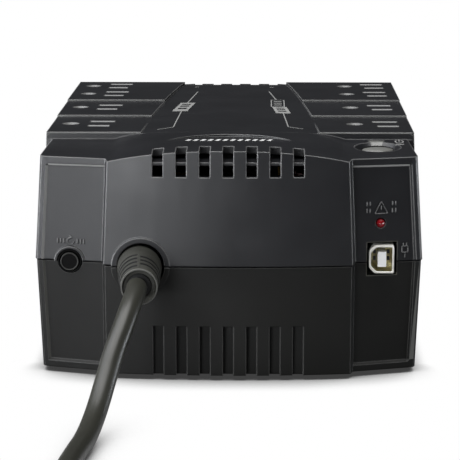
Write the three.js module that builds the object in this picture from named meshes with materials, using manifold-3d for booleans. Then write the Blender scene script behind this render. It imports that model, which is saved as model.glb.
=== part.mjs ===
// A slim eight-outlet desktop uninterruptible power supply.
// Millimetres, +Z up. The object stands on z = 0. Inside the housing group, y runs from the
// cord end (0) to the far end (LENGTH), x is 0 on the centre plane.
import * as THREE from 'three';
import { mergeVertices } from 'three/addons/utils/BufferGeometryUtils.js';
import Module from 'manifold-3d';

const wasm = await Module();
wasm.setup();

// ---------------------------------------------------------------- driving dimensions
const LENGTH = 228;
const HALF_SEAM = 72.9;
const FOOT_HEIGHT = 2;
const BOTTOM = FOOT_HEIGHT;
const SEAM = 43.85;
const SEAM_GAP = 0.5;
const SHELL_OVERHANG = 0.4;
const SHELF = 82.75;
const TERRACES = [87.76, 88.46, 89.16];
const BANK_NEAR = 45.4;
const BANK_FAR = 201.4;
const TERRACE_STARTS = [BANK_NEAR, BANK_NEAR + 44.6, BANK_NEAR + 90.1];
const WALL = 3.6;
const REBATE = 2.2;
const LIP_HEIGHT = 2.2;
const GAP = 0.3;

// Rear bump, side panels and the recess in them.
const BUMP = { bottom: 46.16, seam: 46.37, top: 44.78, bow: 3.4, setback: 1.15, far: 30 };
const PANEL = {
  innerBottom: 8.15, innerSeam: 8.4, innerTop: 9.6,
  outerBottom: 15.8, outerSeam: 14.2, outerTop: 14.4,
};
const SCOOP = { radius: 27.5, centre: 12.5, near: 21, dip: 0.03 };
const RECESS = { depth: 1.0, border: 2.4, chamfer: 0.8 };
const CORNER = 2.4;

// Vents: the same pitch and width for both rows and both ends.
const VENT = {
  pitch: 8.69, width: 3.9, count: 7, countFar: 5,
  upperBottom: 77.1, reach: 12.6, reachFar: 26, lowerTop: 20.8,
};

// Outlets: centres of the blade slots, with the ground hole to the left of them.
const OUTLET_ROWS = [69.7, 115.9, 156.7, 185.4];
const SLOT_X = { left: -51.6, right: 61.4 };
const GROUND_OFFSET = 12.2;
const BLADE_PITCH = 12.7;
const SLOT = { neutral: 8.3, hot: 6.9, width: 2.2, chamfer: 0.75 };
const GROUND_RADIUS = 2.6;

// Controls and ports on the cord end.
const BREAKER = { x: -59.7, z: 43.6, hole: 4.8, arch: 5.8, button: 3.6 };
const LAMP = { x: 56.8, z: 58.4, radius: 1.6 };
const USB = { x: 57.45, z: 44.85, width: 10.7, height: 12.0 };
const RELIEF = { x: -32.5, z: 43.6, hole: 8.9, collar: 10.9, length: 22, droop: 0.115 };
const POWER = {
  x: 56.4, y: 31, dish: 8.9, floor: 7.0, depth: 2.0, hole: 6.5,
  button: 6.15, sink: 1.0, rise: 1.4, stem: 7.5,
};

// Mains lead.
const CORD_RADIUS = 3.75;
const COIL = { x: -4.5, y: -215, mean: 38, wide: 3, layers: 2 };
const PLUG = { x: 44, y: -259, z: 12 };

// ---------------------------------------------------------------- materials
function plastic(color, roughness) {
  return new THREE.MeshStandardMaterial({ color, roughness, metalness: 0 });
}

function metal(color, roughness) {
  return new THREE.MeshStandardMaterial({ color, roughness, metalness: 1 });
}

const MATERIALS = {
  upper: plastic(0x46464a, 0.45),
  lower: plastic(0x303031, 0.55),
  black: plastic(0x181818, 0.6),
  rubber: plastic(0x1c1c1c, 0.85),
  lamp: plastic(0xa01818, 0.25),
  ivory: plastic(0xe8e4d8, 0.4),
  board: plastic(0x1d5a34, 0.5),
  winding: plastic(0xb5762c, 0.5),
  batteryCase: plastic(0x3c4046, 0.6),
  leadRed: plastic(0xa82020, 0.5),
  leadBlack: plastic(0x202020, 0.5),
  film: plastic(0xb8a23c, 0.5),
  relay: plastic(0x2a4f8a, 0.5),
  steel: metal(0xb8b8b4, 0.35),
  laminations: metal(0x5a5a5c, 0.55),
  aluminium: metal(0xc4c6c8, 0.4),
  brass: metal(0xc8a24a, 0.35),
};

// ---------------------------------------------------------------- geometry helpers
function closed(geometry) {
  const bare = geometry.index ? geometry : mergeVertices(geometry);
  bare.deleteAttribute('normal');
  bare.deleteAttribute('uv');
  return mergeVertices(bare, 1e-4);
}

function solid(geometry) {
  const merged = closed(geometry);
  return new wasm.Manifold(new wasm.Mesh({
    numProp: 3,
    vertProperties: new Float32Array(merged.attributes.position.array),
    triVerts: new Uint32Array(merged.index.array),
  }));
}

function geometryOf(manifold) {
  const mesh = manifold.getMesh();
  const geometry = new THREE.BufferGeometry();
  geometry.setAttribute('position', new THREE.BufferAttribute(new Float32Array(mesh.vertProperties), 3));
  geometry.setIndex(new THREE.BufferAttribute(new Uint32Array(mesh.triVerts), 1));
  geometry.computeVertexNormals();
  return geometry;
}

function joined(geometries) {
  return geometries.map(solid).reduce((sum, next) => sum.add(next));
}

function box(x0, x1, y0, y1, z0, z1) {
  const geometry = new THREE.BoxGeometry(x1 - x0, y1 - y0, z1 - z0);
  geometry.translate((x0 + x1) / 2, (y0 + y1) / 2, (z0 + z1) / 2);
  return geometry;
}

// A tapered round bar from z0 to z1.
function barZ(x, y, z0, z1, radius0, radius1 = radius0, sides = 16) {
  const geometry = new THREE.CylinderGeometry(radius1, radius0, z1 - z0, sides);
  geometry.rotateX(Math.PI / 2);
  geometry.translate(x, y, (z0 + z1) / 2);
  return geometry;
}

// A tapered round bar from y0 to y1.
function barY(x, z, y0, y1, radius0, radius1 = radius0, sides = 24) {
  const geometry = new THREE.CylinderGeometry(radius1, radius0, y1 - y0, sides);
  geometry.translate(x, (y0 + y1) / 2, z);
  return geometry;
}

function barX(y, z, x0, x1, radius, sides = 16) {
  const geometry = new THREE.CylinderGeometry(radius, radius, x1 - x0, sides);
  geometry.rotateZ(Math.PI / 2);
  geometry.translate((x0 + x1) / 2, y, z);
  return geometry;
}

// A flat-sided tube around the y axis at (x, z).
function ringY(x, z, y0, y1, outer, inner, sides = 24) {
  const profile = [
    new THREE.Vector2(inner, y0),
    new THREE.Vector2(outer, y0),
    new THREE.Vector2(outer, y1),
    new THREE.Vector2(inner, y1),
    new THREE.Vector2(inner, y0),
  ];
  const geometry = new THREE.LatheGeometry(profile, sides);
  geometry.translate(x, 0, z);
  return geometry;
}

function prism(points, z0, z1) {
  const shape = new THREE.Shape(points.map(([x, y]) => new THREE.Vector2(x, y)));
  const depth = z1 - z0;
  const geometry = new THREE.ExtrudeGeometry(shape, { depth, bevelEnabled: false, curveSegments: 4 });
  geometry.translate(0, 0, z0);
  return geometry;
}

// A closed skin through outlines that all have the same number of points.
function loft(outlines, heights) {
  const count = outlines[0].length;
  const position = [];
  outlines.forEach((outline, level) => {
    outline.forEach(([x, y]) => position.push(x, y, heights[level]));
  });
  const index = [];
  for (let level = 0; level < outlines.length - 1; level += 1) {
    for (let i = 0; i < count; i += 1) {
      const a = level * count + i;
      const b = level * count + ((i + 1) % count);
      index.push(a, b, b + count, a, b + count, a + count);
    }
  }
  const last = (outlines.length - 1) * count;
  const flat = (outline) => outline.map(([x, y]) => new THREE.Vector2(x, y));
  THREE.ShapeUtils.triangulateShape(flat(outlines[0]), []).forEach(([a, b, c]) => index.push(a, c, b));
  THREE.ShapeUtils.triangulateShape(flat(outlines.at(-1)), [])
    .forEach(([a, b, c]) => index.push(last + a, last + b, last + c));
  const geometry = new THREE.BufferGeometry();
  geometry.setAttribute('position', new THREE.Float32BufferAttribute(position, 3));
  geometry.setIndex(index);
  return geometry;
}

// A closed tube along a smooth curve through the points.
function tube(points, radius, steps, sides) {
  const curve = new THREE.CatmullRomCurve3(points.map((p) => new THREE.Vector3(...p)), false, 'centripetal');
  const section = new THREE.Shape();
  for (let i = 0; i < sides; i += 1) {
    const angle = (2 * Math.PI * i) / sides;
    const move = i === 0 ? 'moveTo' : 'lineTo';
    section[move](radius * Math.cos(angle), radius * Math.sin(angle));
  }
  return new THREE.ExtrudeGeometry(section, { steps, extrudePath: curve, bevelEnabled: false });
}

function mix(a, b, t) {
  return a + (b - a) * t;
}

// ---------------------------------------------------------------- housing outline
// Value at height z, straight between the bottom edge, the seam and the shelf.
function drafted(z, bottom, seam, top) {
  if (z < SEAM) return mix(bottom, seam, (z - BOTTOM) / (SEAM - BOTTOM));
  return mix(seam, top, (z - SEAM) / (SHELF - SEAM));
}

// Right half of the plan outline at height z, from the cord end to the far end.
function halfOutline(z, inset, recess, tuck) {
  const cut = inset + tuck;
  const bump = drafted(z, BUMP.bottom, BUMP.seam, BUMP.top);
  const setback = Math.abs(z - SEAM) * (BUMP.setback / (SHELF - SEAM));
  const innerY = drafted(z, PANEL.innerBottom, PANEL.innerSeam, PANEL.innerTop);
  const outerY = drafted(z, PANEL.outerBottom, PANEL.outerSeam, PANEL.outerTop);
  const shelfNear = drafted(z, 71.16, HALF_SEAM, 70.6);
  const shelfBack = drafted(z, 71.16, HALF_SEAM, 68.95);
  const bank = drafted(z, 71.16, HALF_SEAM, 71.35);
  const points = [];
  const end = (bumpHalf, side, nearSide, flip) => {
    const half = [];
    const steps = 5;
    for (let i = 0; i <= steps; i += 1) {
      const t = i / steps;
      half.push([(bumpHalf - cut) * t, setback + BUMP.bow * t * t + cut]);
    }
    const innerX = bumpHalf + 1.1;
    const slope = (outerY - innerY) / (side - innerX);
    const panelY = (x) => innerY + slope * (x - innerX) + cut;
    half.push([innerX - cut, panelY(innerX) + recess]);
    const flat = side - RECESS.border - RECESS.chamfer;
    half.push([flat - cut, panelY(flat) + recess]);
    half.push([side - RECESS.border - cut, panelY(side - RECESS.border)]);
    half.push([side - 0.3 * CORNER - cut, panelY(side - 0.3 * CORNER) + 0.12 * CORNER]);
    half.push([side - cut, panelY(side) + 0.7 * CORNER]);
    half.push([nearSide - cut, BANK_NEAR - 0.25]);
    half.push([bank - cut, BANK_NEAR]);
    return flip ? half.reverse() : half;
  };
  points.push(...end(bump, shelfNear, shelfBack, false));
  const far = end(BUMP.far, shelfNear, shelfBack, true);
  const bankFarShift = LENGTH - BANK_FAR - BANK_NEAR;
  far.forEach(([x, y]) => {
    const mirrored = LENGTH - y;
    const onBankEnd = Math.abs(y - BANK_NEAR) < 0.3;
    points.push([x, onBankEnd ? mirrored - bankFarShift : mirrored]);
  });
  return points;
}

// Whole outline, counter-clockwise seen from above.
function outlineAt(z, { inset = 0, recess = 0, tuck = 0 } = {}) {
  const right = halfOutline(z, inset, recess, tuck);
  const left = right.slice(1, -1).reverse().map(([x, y]) => [-x, y]);
  return [...right, ...left];
}

function housingSkin(heights, recessed, options = {}) {
  const depths = recessed.map((isRecessed) => (isRecessed ? RECESS.depth : 0));
  const outlines = heights.map((z, i) => outlineAt(z, { ...options, recess: depths[i] }));
  return loft(outlines, heights);
}

// ---------------------------------------------------------------- top surface
function bankInner(y) {
  const d = y - BANK_NEAR;
  return 34.45 - 0.034 * d - 0.000245 * d * d;
}

function crownHeight(y) {
  const t = Math.min(Math.max(y / LENGTH, 0), 1);
  const rise = 1.7 * (1 - Math.max(0, 1 - 2 * t) ** 2);
  const fall = 3.4 * Math.max(0, (t - 0.8) / 0.2) ** 2;
  return 86.8 + rise - fall;
}

// Height of the hump and the shelves, without the outlet banks.
function topHeight(x, y) {
  const crown = crownHeight(y);
  const fromEnd = Math.min(y, LENGTH - y);
  const nearEnd = y < LENGTH / 2;
  const reach = nearEnd ? BANK_NEAR : LENGTH - BANK_FAR;
  const halfWidth = nearEnd ? BUMP.top : BUMP.far;
  if (fromEnd >= reach) {
    const across = Math.min(Math.abs(x) / bankInner(y), 1.4);
    const arch = mix(0.6, 0.1, Math.min(Math.max((y - BANK_NEAR) / (BANK_FAR - BANK_NEAR), 0), 1));
    return crown - arch * across * across;
  }
  const inward = Math.max(fromEnd, 0) / reach;
  const shelf = SHELF + 0.063 * Math.max(fromEnd - 9, -9);
  const power = nearEnd ? mix(2.2, 5.2, inward) : 14;
  const across = Math.min(Math.abs(x) / halfWidth, 1);
  return shelf + (crown - shelf) * (1 - across ** power);
}

function gridLines(fine) {
  if (!fine) {
    const coarseHalf = [0, 16, BUMP.far, 34, BUMP.top, 76];
    const coarseX = [...coarseHalf.slice(1).reverse().map((x) => -x), ...coarseHalf];
    const nearY = [-3, 9, 24, BANK_NEAR - 0.01, BANK_NEAR, 80, 120];
    const coarseY = [...nearY, 160, BANK_FAR, BANK_FAR + 0.01, 215, LENGTH + 3];
    return { xs: coarseX, ys: coarseY };
  }
  const half = [0, 7, 14, 20, 25, BUMP.far, 33, 36, 39, 42, BUMP.top, 60, 76];
  const xs = [...half.slice(1).reverse().map((x) => -x), ...half];
  const ys = [-3, 3, 9, 15, 21, 27, 33, 39, BANK_NEAR - 0.01, BANK_NEAR, 62, 80, 98, 116, 134, 152, 170, 186,
    BANK_FAR, BANK_FAR + 0.01, 207, 213, 219, 225, LENGTH + 3];
  return { xs, ys };
}

// Everything under the hump and shelf surface, lowered by drop.
function underTop(drop) {
  const { xs, ys } = gridLines(drop === 0);
  const columns = xs.length;
  const rows = ys.length;
  const floor = 20;
  const position = [];
  ys.forEach((y) => xs.forEach((x) => position.push(x, y, topHeight(x, y) - drop)));
  const base = columns * rows;
  const rim = [];
  for (let i = 0; i < columns; i += 1) rim.push(i);
  for (let j = 1; j < rows; j += 1) rim.push(j * columns + columns - 1);
  for (let i = columns - 2; i >= 0; i -= 1) rim.push((rows - 1) * columns + i);
  for (let j = rows - 2; j >= 1; j -= 1) rim.push(j * columns);
  rim.forEach((vertex) => position.push(position[vertex * 3], position[vertex * 3 + 1], floor));
  const centre = base + rim.length;
  position.push(0, LENGTH / 2, floor);
  const index = [];
  for (let j = 0; j < rows - 1; j += 1) {
    for (let i = 0; i < columns - 1; i += 1) {
      const a = j * columns + i;
      const b = a + columns;
      index.push(a, a + 1, b + 1, a, b + 1, b);
    }
  }
  rim.forEach((vertex, k) => {
    const next = (k + 1) % rim.length;
    index.push(vertex, base + k, base + next, vertex, base + next, rim[next]);
    index.push(base + k, centre, base + next);
  });
  const geometry = new THREE.BufferGeometry();
  geometry.setAttribute('position', new THREE.Float32BufferAttribute(position, 3));
  geometry.setIndex(index);
  return geometry;
}

// Stepped bank of outlets on one side: side is -1 or 1.
function bankSolid(side, tops, inset, outer, endInset) {
  const steps = tops.map((top, k) => {
    const start = TERRACE_STARTS[k] + (k === 0 ? endInset : inset);
    const end = BANK_FAR - endInset;
    const inner = [];
    const count = 8;
    for (let i = 0; i <= count; i += 1) {
      const y = mix(start, end, i / count);
      inner.push([side * (bankInner(y) + inset), y]);
    }
    const outline = [...inner, [side * outer, end], [side * outer, start]];
    return prism(side > 0 ? outline.reverse() : outline, 60, top);
  });
  return joined(steps);
}

// ---------------------------------------------------------------- cutters shared by the shells
// Shallow crescent scoop in the hump behind the vents: a round far edge and a floor that dips away.
function scoopCutter() {
  const cutter = new THREE.CylinderGeometry(SCOOP.radius, SCOOP.radius, 12, 64);
  cutter.rotateX(Math.PI / 2);
  cutter.translate(0, 0, 6);
  cutter.rotateX(-SCOOP.dip);
  const rise = (SCOOP.near - SCOOP.centre) * Math.tan(SCOOP.dip);
  cutter.translate(0, SCOOP.centre, crownHeight(SCOOP.near) + rise);
  return cutter;
}

function ventCutters(count, y0, y1, z0, z1) {
  const cutters = [];
  for (let i = 0; i < count; i += 1) {
    const x = (i - (count - 1) / 2) * VENT.pitch;
    cutters.push(box(x - VENT.width / 2, x + VENT.width / 2, y0, y1, z0, z1));
  }
  return cutters;
}

function portCutters() {
  const usb = box(USB.x - USB.width / 2 - GAP, USB.x + USB.width / 2 + GAP, -5, 24,
    USB.z - USB.height / 2 - GAP, USB.z + USB.height / 2 + GAP);
  const breaker = barY(BREAKER.x, BREAKER.z, -5, 24, BREAKER.hole);
  const relief = barY(RELIEF.x, RELIEF.z, -5, 24, RELIEF.hole, RELIEF.hole, 32);
  return [usb, breaker, relief];
}

function reliefCollar() {
  return ringY(RELIEF.x, RELIEF.z, 0.6, 7, RELIEF.collar, RELIEF.hole, 32);
}

// A slot's cutter: straight sides with a lead-in that opens upwards.
function slotCutter(x, y, length, top) {
  const half = { x: length / 2, y: SLOT.width / 2 };
  const corners = (grow) => [
    [x - half.x - grow, y - half.y - grow],
    [x + half.x + grow, y - half.y - grow],
    [x + half.x + grow, y + half.y + grow],
    [x - half.x - grow, y + half.y + grow],
  ];
  return loft([corners(0), corners(0), corners(SLOT.chamfer * 2)],
    [top - 12, top - SLOT.chamfer, top + SLOT.chamfer]);
}

function outletCutters(sideName) {
  const cutters = [];
  OUTLET_ROWS.forEach((row, k) => {
    const top = TERRACES[Math.min(k, 2)];
    const x = SLOT_X[sideName];
    const shift = (SLOT.neutral - SLOT.hot) / 2;
    const hotX = sideName === 'left' ? x - shift : x + shift;
    cutters.push(slotCutter(x, row + BLADE_PITCH / 2, SLOT.neutral, top));
    cutters.push(slotCutter(hotX, row - BLADE_PITCH / 2, SLOT.hot, top));
    cutters.push(barZ(x - GROUND_OFFSET, row, top - 12, top + 1, GROUND_RADIUS, GROUND_RADIUS, 12));
    cutters.push(barZ(x - GROUND_OFFSET, row, top - SLOT.chamfer, top + SLOT.chamfer,
      GROUND_RADIUS, GROUND_RADIUS + 2 * SLOT.chamfer, 12));
  });
  return cutters;
}

const SCREW_SPOTS = [[-66, 42], [66, 42], [-66, 203.4], [66, 203.4]];
const SCREW = { shank: 1.5, head: 2.6, headTop: 26, tip: 62, post: 3.9 };

// ---------------------------------------------------------------- shells
function upperShell() {
  const top = 95;
  const border = SHELF - RECESS.border;
  const heights = [SEAM, border - RECESS.chamfer, border, top];
  const body = solid(housingSkin(heights, [true, true, false, false]));
  const roof = solid(underTop(0))
    .add(bankSolid(-1, TERRACES, 0, 80, 0))
    .add(bankSolid(1, TERRACES, 0, 80, 0));
  const outer = body.intersect(roof);

  const room = solid(housingSkin([SEAM - 1, top], [false, false], { inset: WALL }));
  const pockets = TERRACES.map((height) => height - 3.2);
  const ceiling = solid(underTop(2.8))
    .add(bankSolid(-1, pockets, 2.4, 68.4, 3))
    .add(bankSolid(1, pockets, 2.4, 68.4, 3));
  const rebate = solid(housingSkin([SEAM - 1, SEAM + LIP_HEIGHT + GAP], [false, false], { inset: REBATE }));
  let shell = outer.subtract(room.intersect(ceiling)).subtract(rebate);

  const arch = ringY(BREAKER.x, BREAKER.z, 10.6, 13.5, BREAKER.arch, BREAKER.hole);
  const collar = solid(reliefCollar()).add(solid(arch));
  shell = shell.add(collar.intersect(solid(box(-80, 80, -5, 30, SEAM, 70))));
  SCREW_SPOTS.forEach(([x, y]) => {
    shell = shell.add(solid(barZ(x, y, SEAM + 2.7, SHELF - 1, SCREW.post, SCREW.post, 12)));
    shell = shell.subtract(solid(barZ(x, y, SEAM, SCREW.tip + 1, SCREW.shank + GAP, SCREW.shank + GAP, 10)));
  });
  const cutters = [
    ...ventCutters(VENT.count, -3, VENT.reach, VENT.upperBottom, 92),
    ...ventCutters(VENT.countFar, LENGTH - VENT.reachFar, LENGTH + 3, VENT.upperBottom, 92),
    ...portCutters(),
    ...outletCutters('left'),
    ...outletCutters('right'),
    scoopCutter(),
    barZ(POWER.x, POWER.y, SHELF - 4, SHELF + 4, POWER.hole, POWER.hole, 24),
    barZ(POWER.x, POWER.y, dishHeight() - POWER.depth, dishHeight() + POWER.depth,
      POWER.floor, 2 * POWER.dish - POWER.floor, 32),
    barY(LAMP.x, LAMP.z, 5, 24, LAMP.radius + GAP, LAMP.radius + GAP, 16),
  ];
  cutters.forEach((cutter) => {
    shell = shell.subtract(solid(cutter));
  });
  shell = shell.add(solid(box(-33, 33, 3.4, 13.6, 81.2, 82.4)));
  return geometryOf(shell);
}

function dishHeight() {
  return topHeight(POWER.x, POWER.y);
}

const DOOR = { half: 36.5, y0: 77, y1: 214.4, travel: 10, thickness: 2 };
const BATTERY = { half: 33.5, y0: 78.6, y1: 212.6, z0: 4.9, z1: 64.9 };

function lowerShell() {
  const rim = SEAM - SEAM_GAP;
  const border = BOTTOM + RECESS.border;
  const heights = [BOTTOM, border, border + RECESS.chamfer, rim];
  const outer = solid(housingSkin(heights, [false, false, true, true], { tuck: SHELL_OVERHANG }));
  const lip = solid(housingSkin([rim - 4, SEAM + LIP_HEIGHT], [false, false], { inset: REBATE + GAP }));
  const floor = BOTTOM + 3.4;
  const room = solid(housingSkin([floor, SEAM + 10], [false, false], { inset: WALL + 0.2 }));
  let shell = outer.add(lip).subtract(room);

  const aboveRim = solid(box(-80, 80, -5, 30, rim, 70));
  const collarWay = solid(barY(RELIEF.x, RELIEF.z, -5, 7 + GAP, RELIEF.collar + GAP, RELIEF.collar + GAP, 32))
    .add(solid(barY(BREAKER.x, BREAKER.z, -5, 13.5 + GAP, BREAKER.arch + GAP)));
  shell = shell.subtract(collarWay.intersect(aboveRim));
  shell = shell.add(solid(reliefCollar()).intersect(solid(box(-80, 80, -5, 30, 25, rim))));
  SCREW_SPOTS.forEach(([x, y]) => {
    shell = shell.add(solid(barZ(x, y, BOTTOM + 1, SEAM + LIP_HEIGHT, SCREW.post, SCREW.post, 12)));
    const bore = SCREW.head + GAP;
    shell = shell.subtract(solid(barZ(x, y, BOTTOM - 1, SCREW.headTop, bore, bore, 12)));
    shell = shell.subtract(solid(barZ(x, y, BOTTOM, SEAM + 9, SCREW.shank + GAP, SCREW.shank + GAP, 10)));
  });
  batteryWalls().forEach((wall) => {
    shell = shell.add(solid(wall));
  });
  const doorPocket = box(-DOOR.half - GAP, DOOR.half + GAP, DOOR.y0 - DOOR.travel - GAP, DOOR.y1 + GAP,
    BOTTOM - 1, BOTTOM + DOOR.thickness + GAP);
  const bay = box(-BATTERY.half - GAP, BATTERY.half + GAP, BATTERY.y0 - GAP, BATTERY.y1 + GAP,
    BOTTOM - 1, floor + 1);
  const footHole = FOOT_RADIUS + GAP;
  const cutters = [
    ...ventCutters(VENT.count, -3, 4.6, BOTTOM - 1, VENT.lowerTop),
    ...ventCutters(VENT.countFar, LENGTH - 4.6, LENGTH + 3, BOTTOM - 1, VENT.lowerTop),
    ...portCutters(),
    ...FOOT_SPOTS.map(([x, y]) => barZ(x, y, BOTTOM - 1, BOTTOM + 1.2, footHole, footHole, 20)),
    doorPocket,
    bay,
  ];
  cutters.forEach((cutter) => {
    shell = shell.subtract(solid(cutter));
  });
  return geometryOf(shell);
}

// Low walls that hold the battery in place over its bay.
function batteryWalls() {
  const z0 = BOTTOM + 3;
  const z1 = 22;
  return [
    box(-36.6, -34.2, 75, 214, z0, z1),
    box(34.2, 36.6, 75, 214, z0, z1),
    box(-36.6, 36.6, 75, 77.4, z0, z1),
  ];
}

// ---------------------------------------------------------------- underside pieces
const FOOT_RADIUS = 6;
const FOOT_SPOTS = [[-54, 40], [54, 40], [-54, 190], [54, 190]];

function foot([x, y]) {
  return barZ(x, y, 0, BOTTOM + 1.2 - GAP, FOOT_RADIUS - 0.6, FOOT_RADIUS, 20);
}

function batteryDoor() {
  const panel = solid(box(-DOOR.half, DOOR.half, DOOR.y0, DOOR.y1, BOTTOM, BOTTOM + DOOR.thickness));
  let door = panel;
  for (let i = 0; i < 4; i += 1) {
    const y = DOOR.y0 + 8 + i * 3;
    door = door.subtract(solid(box(-12, 12, y, y + 1.4, BOTTOM - 1, BOTTOM + 0.8)));
  }
  return geometryOf(door);
}

function shellScrew([x, y]) {
  const profile = [
    new THREE.Vector2(0, SCREW.headTop - 3),
    new THREE.Vector2(SCREW.head, SCREW.headTop - 3),
    new THREE.Vector2(SCREW.head, SCREW.headTop - GAP),
    new THREE.Vector2(SCREW.shank, SCREW.headTop - GAP),
    new THREE.Vector2(SCREW.shank, SCREW.tip - 2),
    new THREE.Vector2(0, SCREW.tip),
  ];
  const geometry = new THREE.LatheGeometry(profile, 10);
  geometry.rotateX(Math.PI / 2);
  geometry.translate(x, y, 0);
  return geometry;
}

// ---------------------------------------------------------------- controls and ports
function powerButton() {
  const foot = dishHeight() - POWER.stem;
  const edge = dishHeight() - POWER.sink;
  const skirt = edge - 2.6;
  const profile = [[0, foot], [2, foot], [2, skirt], [POWER.button, skirt]];
  for (let i = 6; i >= 0; i -= 1) {
    const angle = (Math.PI / 12) * i;
    profile.push([POWER.button * Math.sin(angle), edge + POWER.rise * Math.cos(angle)]);
  }
  const geometry = new THREE.LatheGeometry(profile.map(([r, z]) => new THREE.Vector2(r, z)), 24);
  geometry.rotateX(Math.PI / 2);
  geometry.translate(POWER.x, POWER.y, 0);
  return geometry;
}

const SWITCH_TOP = SHELF - 12;

function powerPlunger() {
  return barZ(POWER.x, POWER.y, SWITCH_TOP - 3, dishHeight() - POWER.stem - 0.05, 1.4, 1.4, 12);
}

function powerSwitch() {
  const body = solid(box(POWER.x - 4, BOARD.x - GAP, POWER.y - 4, POWER.y + 4, SWITCH_TOP - 8, SWITCH_TOP));
  const bore = solid(barZ(POWER.x, POWER.y, SWITCH_TOP - 5, SWITCH_TOP + 1, 1.7, 1.7, 12));
  return geometryOf(body.subtract(bore));
}

function breakerCollar() {
  return ringY(BREAKER.x, BREAKER.z, 11.4, 19.8, BREAKER.hole - GAP, BREAKER.button + 0.25, 24);
}

function breakerButton() {
  const profile = [
    new THREE.Vector2(0, 10.7),
    new THREE.Vector2(BREAKER.button - 0.6, 10.7),
    new THREE.Vector2(BREAKER.button, 11.3),
    new THREE.Vector2(BREAKER.button, 24),
    new THREE.Vector2(0, 24),
  ];
  const geometry = new THREE.LatheGeometry(profile, 24);
  geometry.translate(BREAKER.x, 0, BREAKER.z);
  return geometry;
}

function breakerBody() {
  const outer = solid(box(-66, -53.4, 20.2, 37.6, 32, 55));
  const well = solid(barY(BREAKER.x, BREAKER.z, 18, 30, BREAKER.button + 0.4, BREAKER.button + 0.4, 16));
  const blades = [37, 50].map((z) => solid(box(-61.5, -56, 37, 45, z - 0.4, z + 0.4)));
  return geometryOf(outer.subtract(well).add(blades[0]).add(blades[1]));
}

function faultLamp() {
  const profile = [new THREE.Vector2(0, 9.6)];
  for (let i = 1; i <= 4; i += 1) {
    const angle = (Math.PI / 8) * i;
    profile.push(new THREE.Vector2(LAMP.radius * Math.sin(angle), 9.6 + LAMP.radius * (1 - Math.cos(angle))));
  }
  profile.push(new THREE.Vector2(LAMP.radius, 17));
  profile.push(new THREE.Vector2(0, 17));
  const geometry = new THREE.LatheGeometry(profile, 16);
  geometry.translate(LAMP.x, 0, LAMP.z);
  return geometry;
}

// Outline of the USB-B shell in (y, z) order, its two chamfered corners towards -x.
function usbOutline(grow) {
  const w = USB.width / 2 + grow;
  const h = USB.height / 2 + grow;
  const c = 2.4;
  return [[w, -h], [w, h], [-w + c, h], [-w, h - c], [-w, -h + c], [-w + c, -h]];
}

function usbPrism(grow, y0, y1) {
  const geometry = prism(usbOutline(grow), 0, y1 - y0);
  geometry.rotateX(Math.PI / 2);
  geometry.translate(USB.x, y1, USB.z);
  return geometry;
}

function usbShell() {
  const shell = solid(usbPrism(0, 9.4, 25)).subtract(solid(usbPrism(-0.5, 8, 24.2)));
  return geometryOf(shell);
}

function usbTongue() {
  return box(USB.x - 1.6, USB.x + 1.6, 10.2, 24.2 - GAP, USB.z - 2.9, USB.z + 2.9);
}

// ---------------------------------------------------------------- inside the housing
const BOARD = { x: 63.3, thickness: 1.6, y0: 46.4, y1: 190, z0: 6.4, z1: 60 };

function mainBoard() {
  const board = solid(box(BOARD.x, BOARD.x + BOARD.thickness, BOARD.y0, BOARD.y1, BOARD.z0, BOARD.z1));
  const holes = BOARD_SCREWS.map(([y, z]) => solid(barX(y, z, BOARD.x - 1, BOARD.x + 3, 1.8, 10)));
  return geometryOf(board.subtract(holes[0]).subtract(holes[1]));
}

// Small board on edge that carries the USB port, the lamp and the power switch.
function portBoard() {
  return box(BOARD.x, BOARD.x + BOARD.thickness, 18.4, 37.4, 34, 74);
}

const BOARD_SCREWS = [[60, 12], [170, 12]];

function boardScrew([y, z]) {
  const head = solid(barX(y, z, BOARD.x - 2.2, BOARD.x - GAP, 2.6, 12));
  return geometryOf(head.add(solid(barX(y, z, BOARD.x - 1, BOARD.x + 4.2, 1.4, 10))));
}

function heatsink() {
  const base = [box(46, 61, 120, 150, 24, 27)];
  for (let i = 0; i < 6; i += 1) {
    base.push(box(46, 61, 120 + i * 5.7, 121.5 + i * 5.7, 26, 50));
  }
  base.push(box(60, BOARD.x - GAP, 132, 138, 24, 27));
  return geometryOf(joined(base));
}

function relay(y) {
  return box(46.5, BOARD.x - GAP, y, y + 12, 36, 54);
}

function filterCapacitor(y) {
  return barX(y, 16, 46, BOARD.x - GAP, 6.3, 20);
}

function battery() {
  const lower = box(-BATTERY.half, BATTERY.half, BATTERY.y0, BATTERY.y1, BATTERY.z0, BATTERY.z1 - 4);
  const half = BATTERY.half - 1;
  const lid = box(-half, half, BATTERY.y0 + 1, BATTERY.y1 - 1, BATTERY.z0 + 4, BATTERY.z1);
  return geometryOf(joined([lower, lid]));
}

function batteryTab(x) {
  const post = box(x - 3.2, x + 3.2, BATTERY.y0 + 5, BATTERY.y0 + 5.9, BATTERY.z1 + 0.05, BATTERY.z1 + 6.4);
  const base = box(x - 3.2, x + 3.2, BATTERY.y0 + 5, BATTERY.y0 + 9, BATTERY.z1 + 0.05, BATTERY.z1 + 0.9);
  return geometryOf(joined([post, base]));
}

const LEAD_END = BOARD.x - GAP;
const LEAD_POSITIVE = [
  [22, BATTERY.y0 + 4.6, 68.5],
  [22, BATTERY.y0 - 2, 68.5],
  [30, 73, 66],
  [42, 71, 59],
  [54, 70.6, 56],
  [LEAD_END, 70.6, 56],
];
const LEAD_NEGATIVE = [
  [-22, BATTERY.y0 + 4.6, 68.5],
  [-22, BATTERY.y0 - 2, 68.5],
  [-8, 71, 68.5],
  [20, 66, 64],
  [40, 64, 56],
  [54, 63.5, 51],
  [LEAD_END, 63.5, 50],
];

function batteryLead(route) {
  return tube(route, 1.4, 16, 8);
}

const TRANSFORMER = { x: 12, y: 42, z0: 8.6, width: 66, depth: 34, height: 55 };

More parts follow.
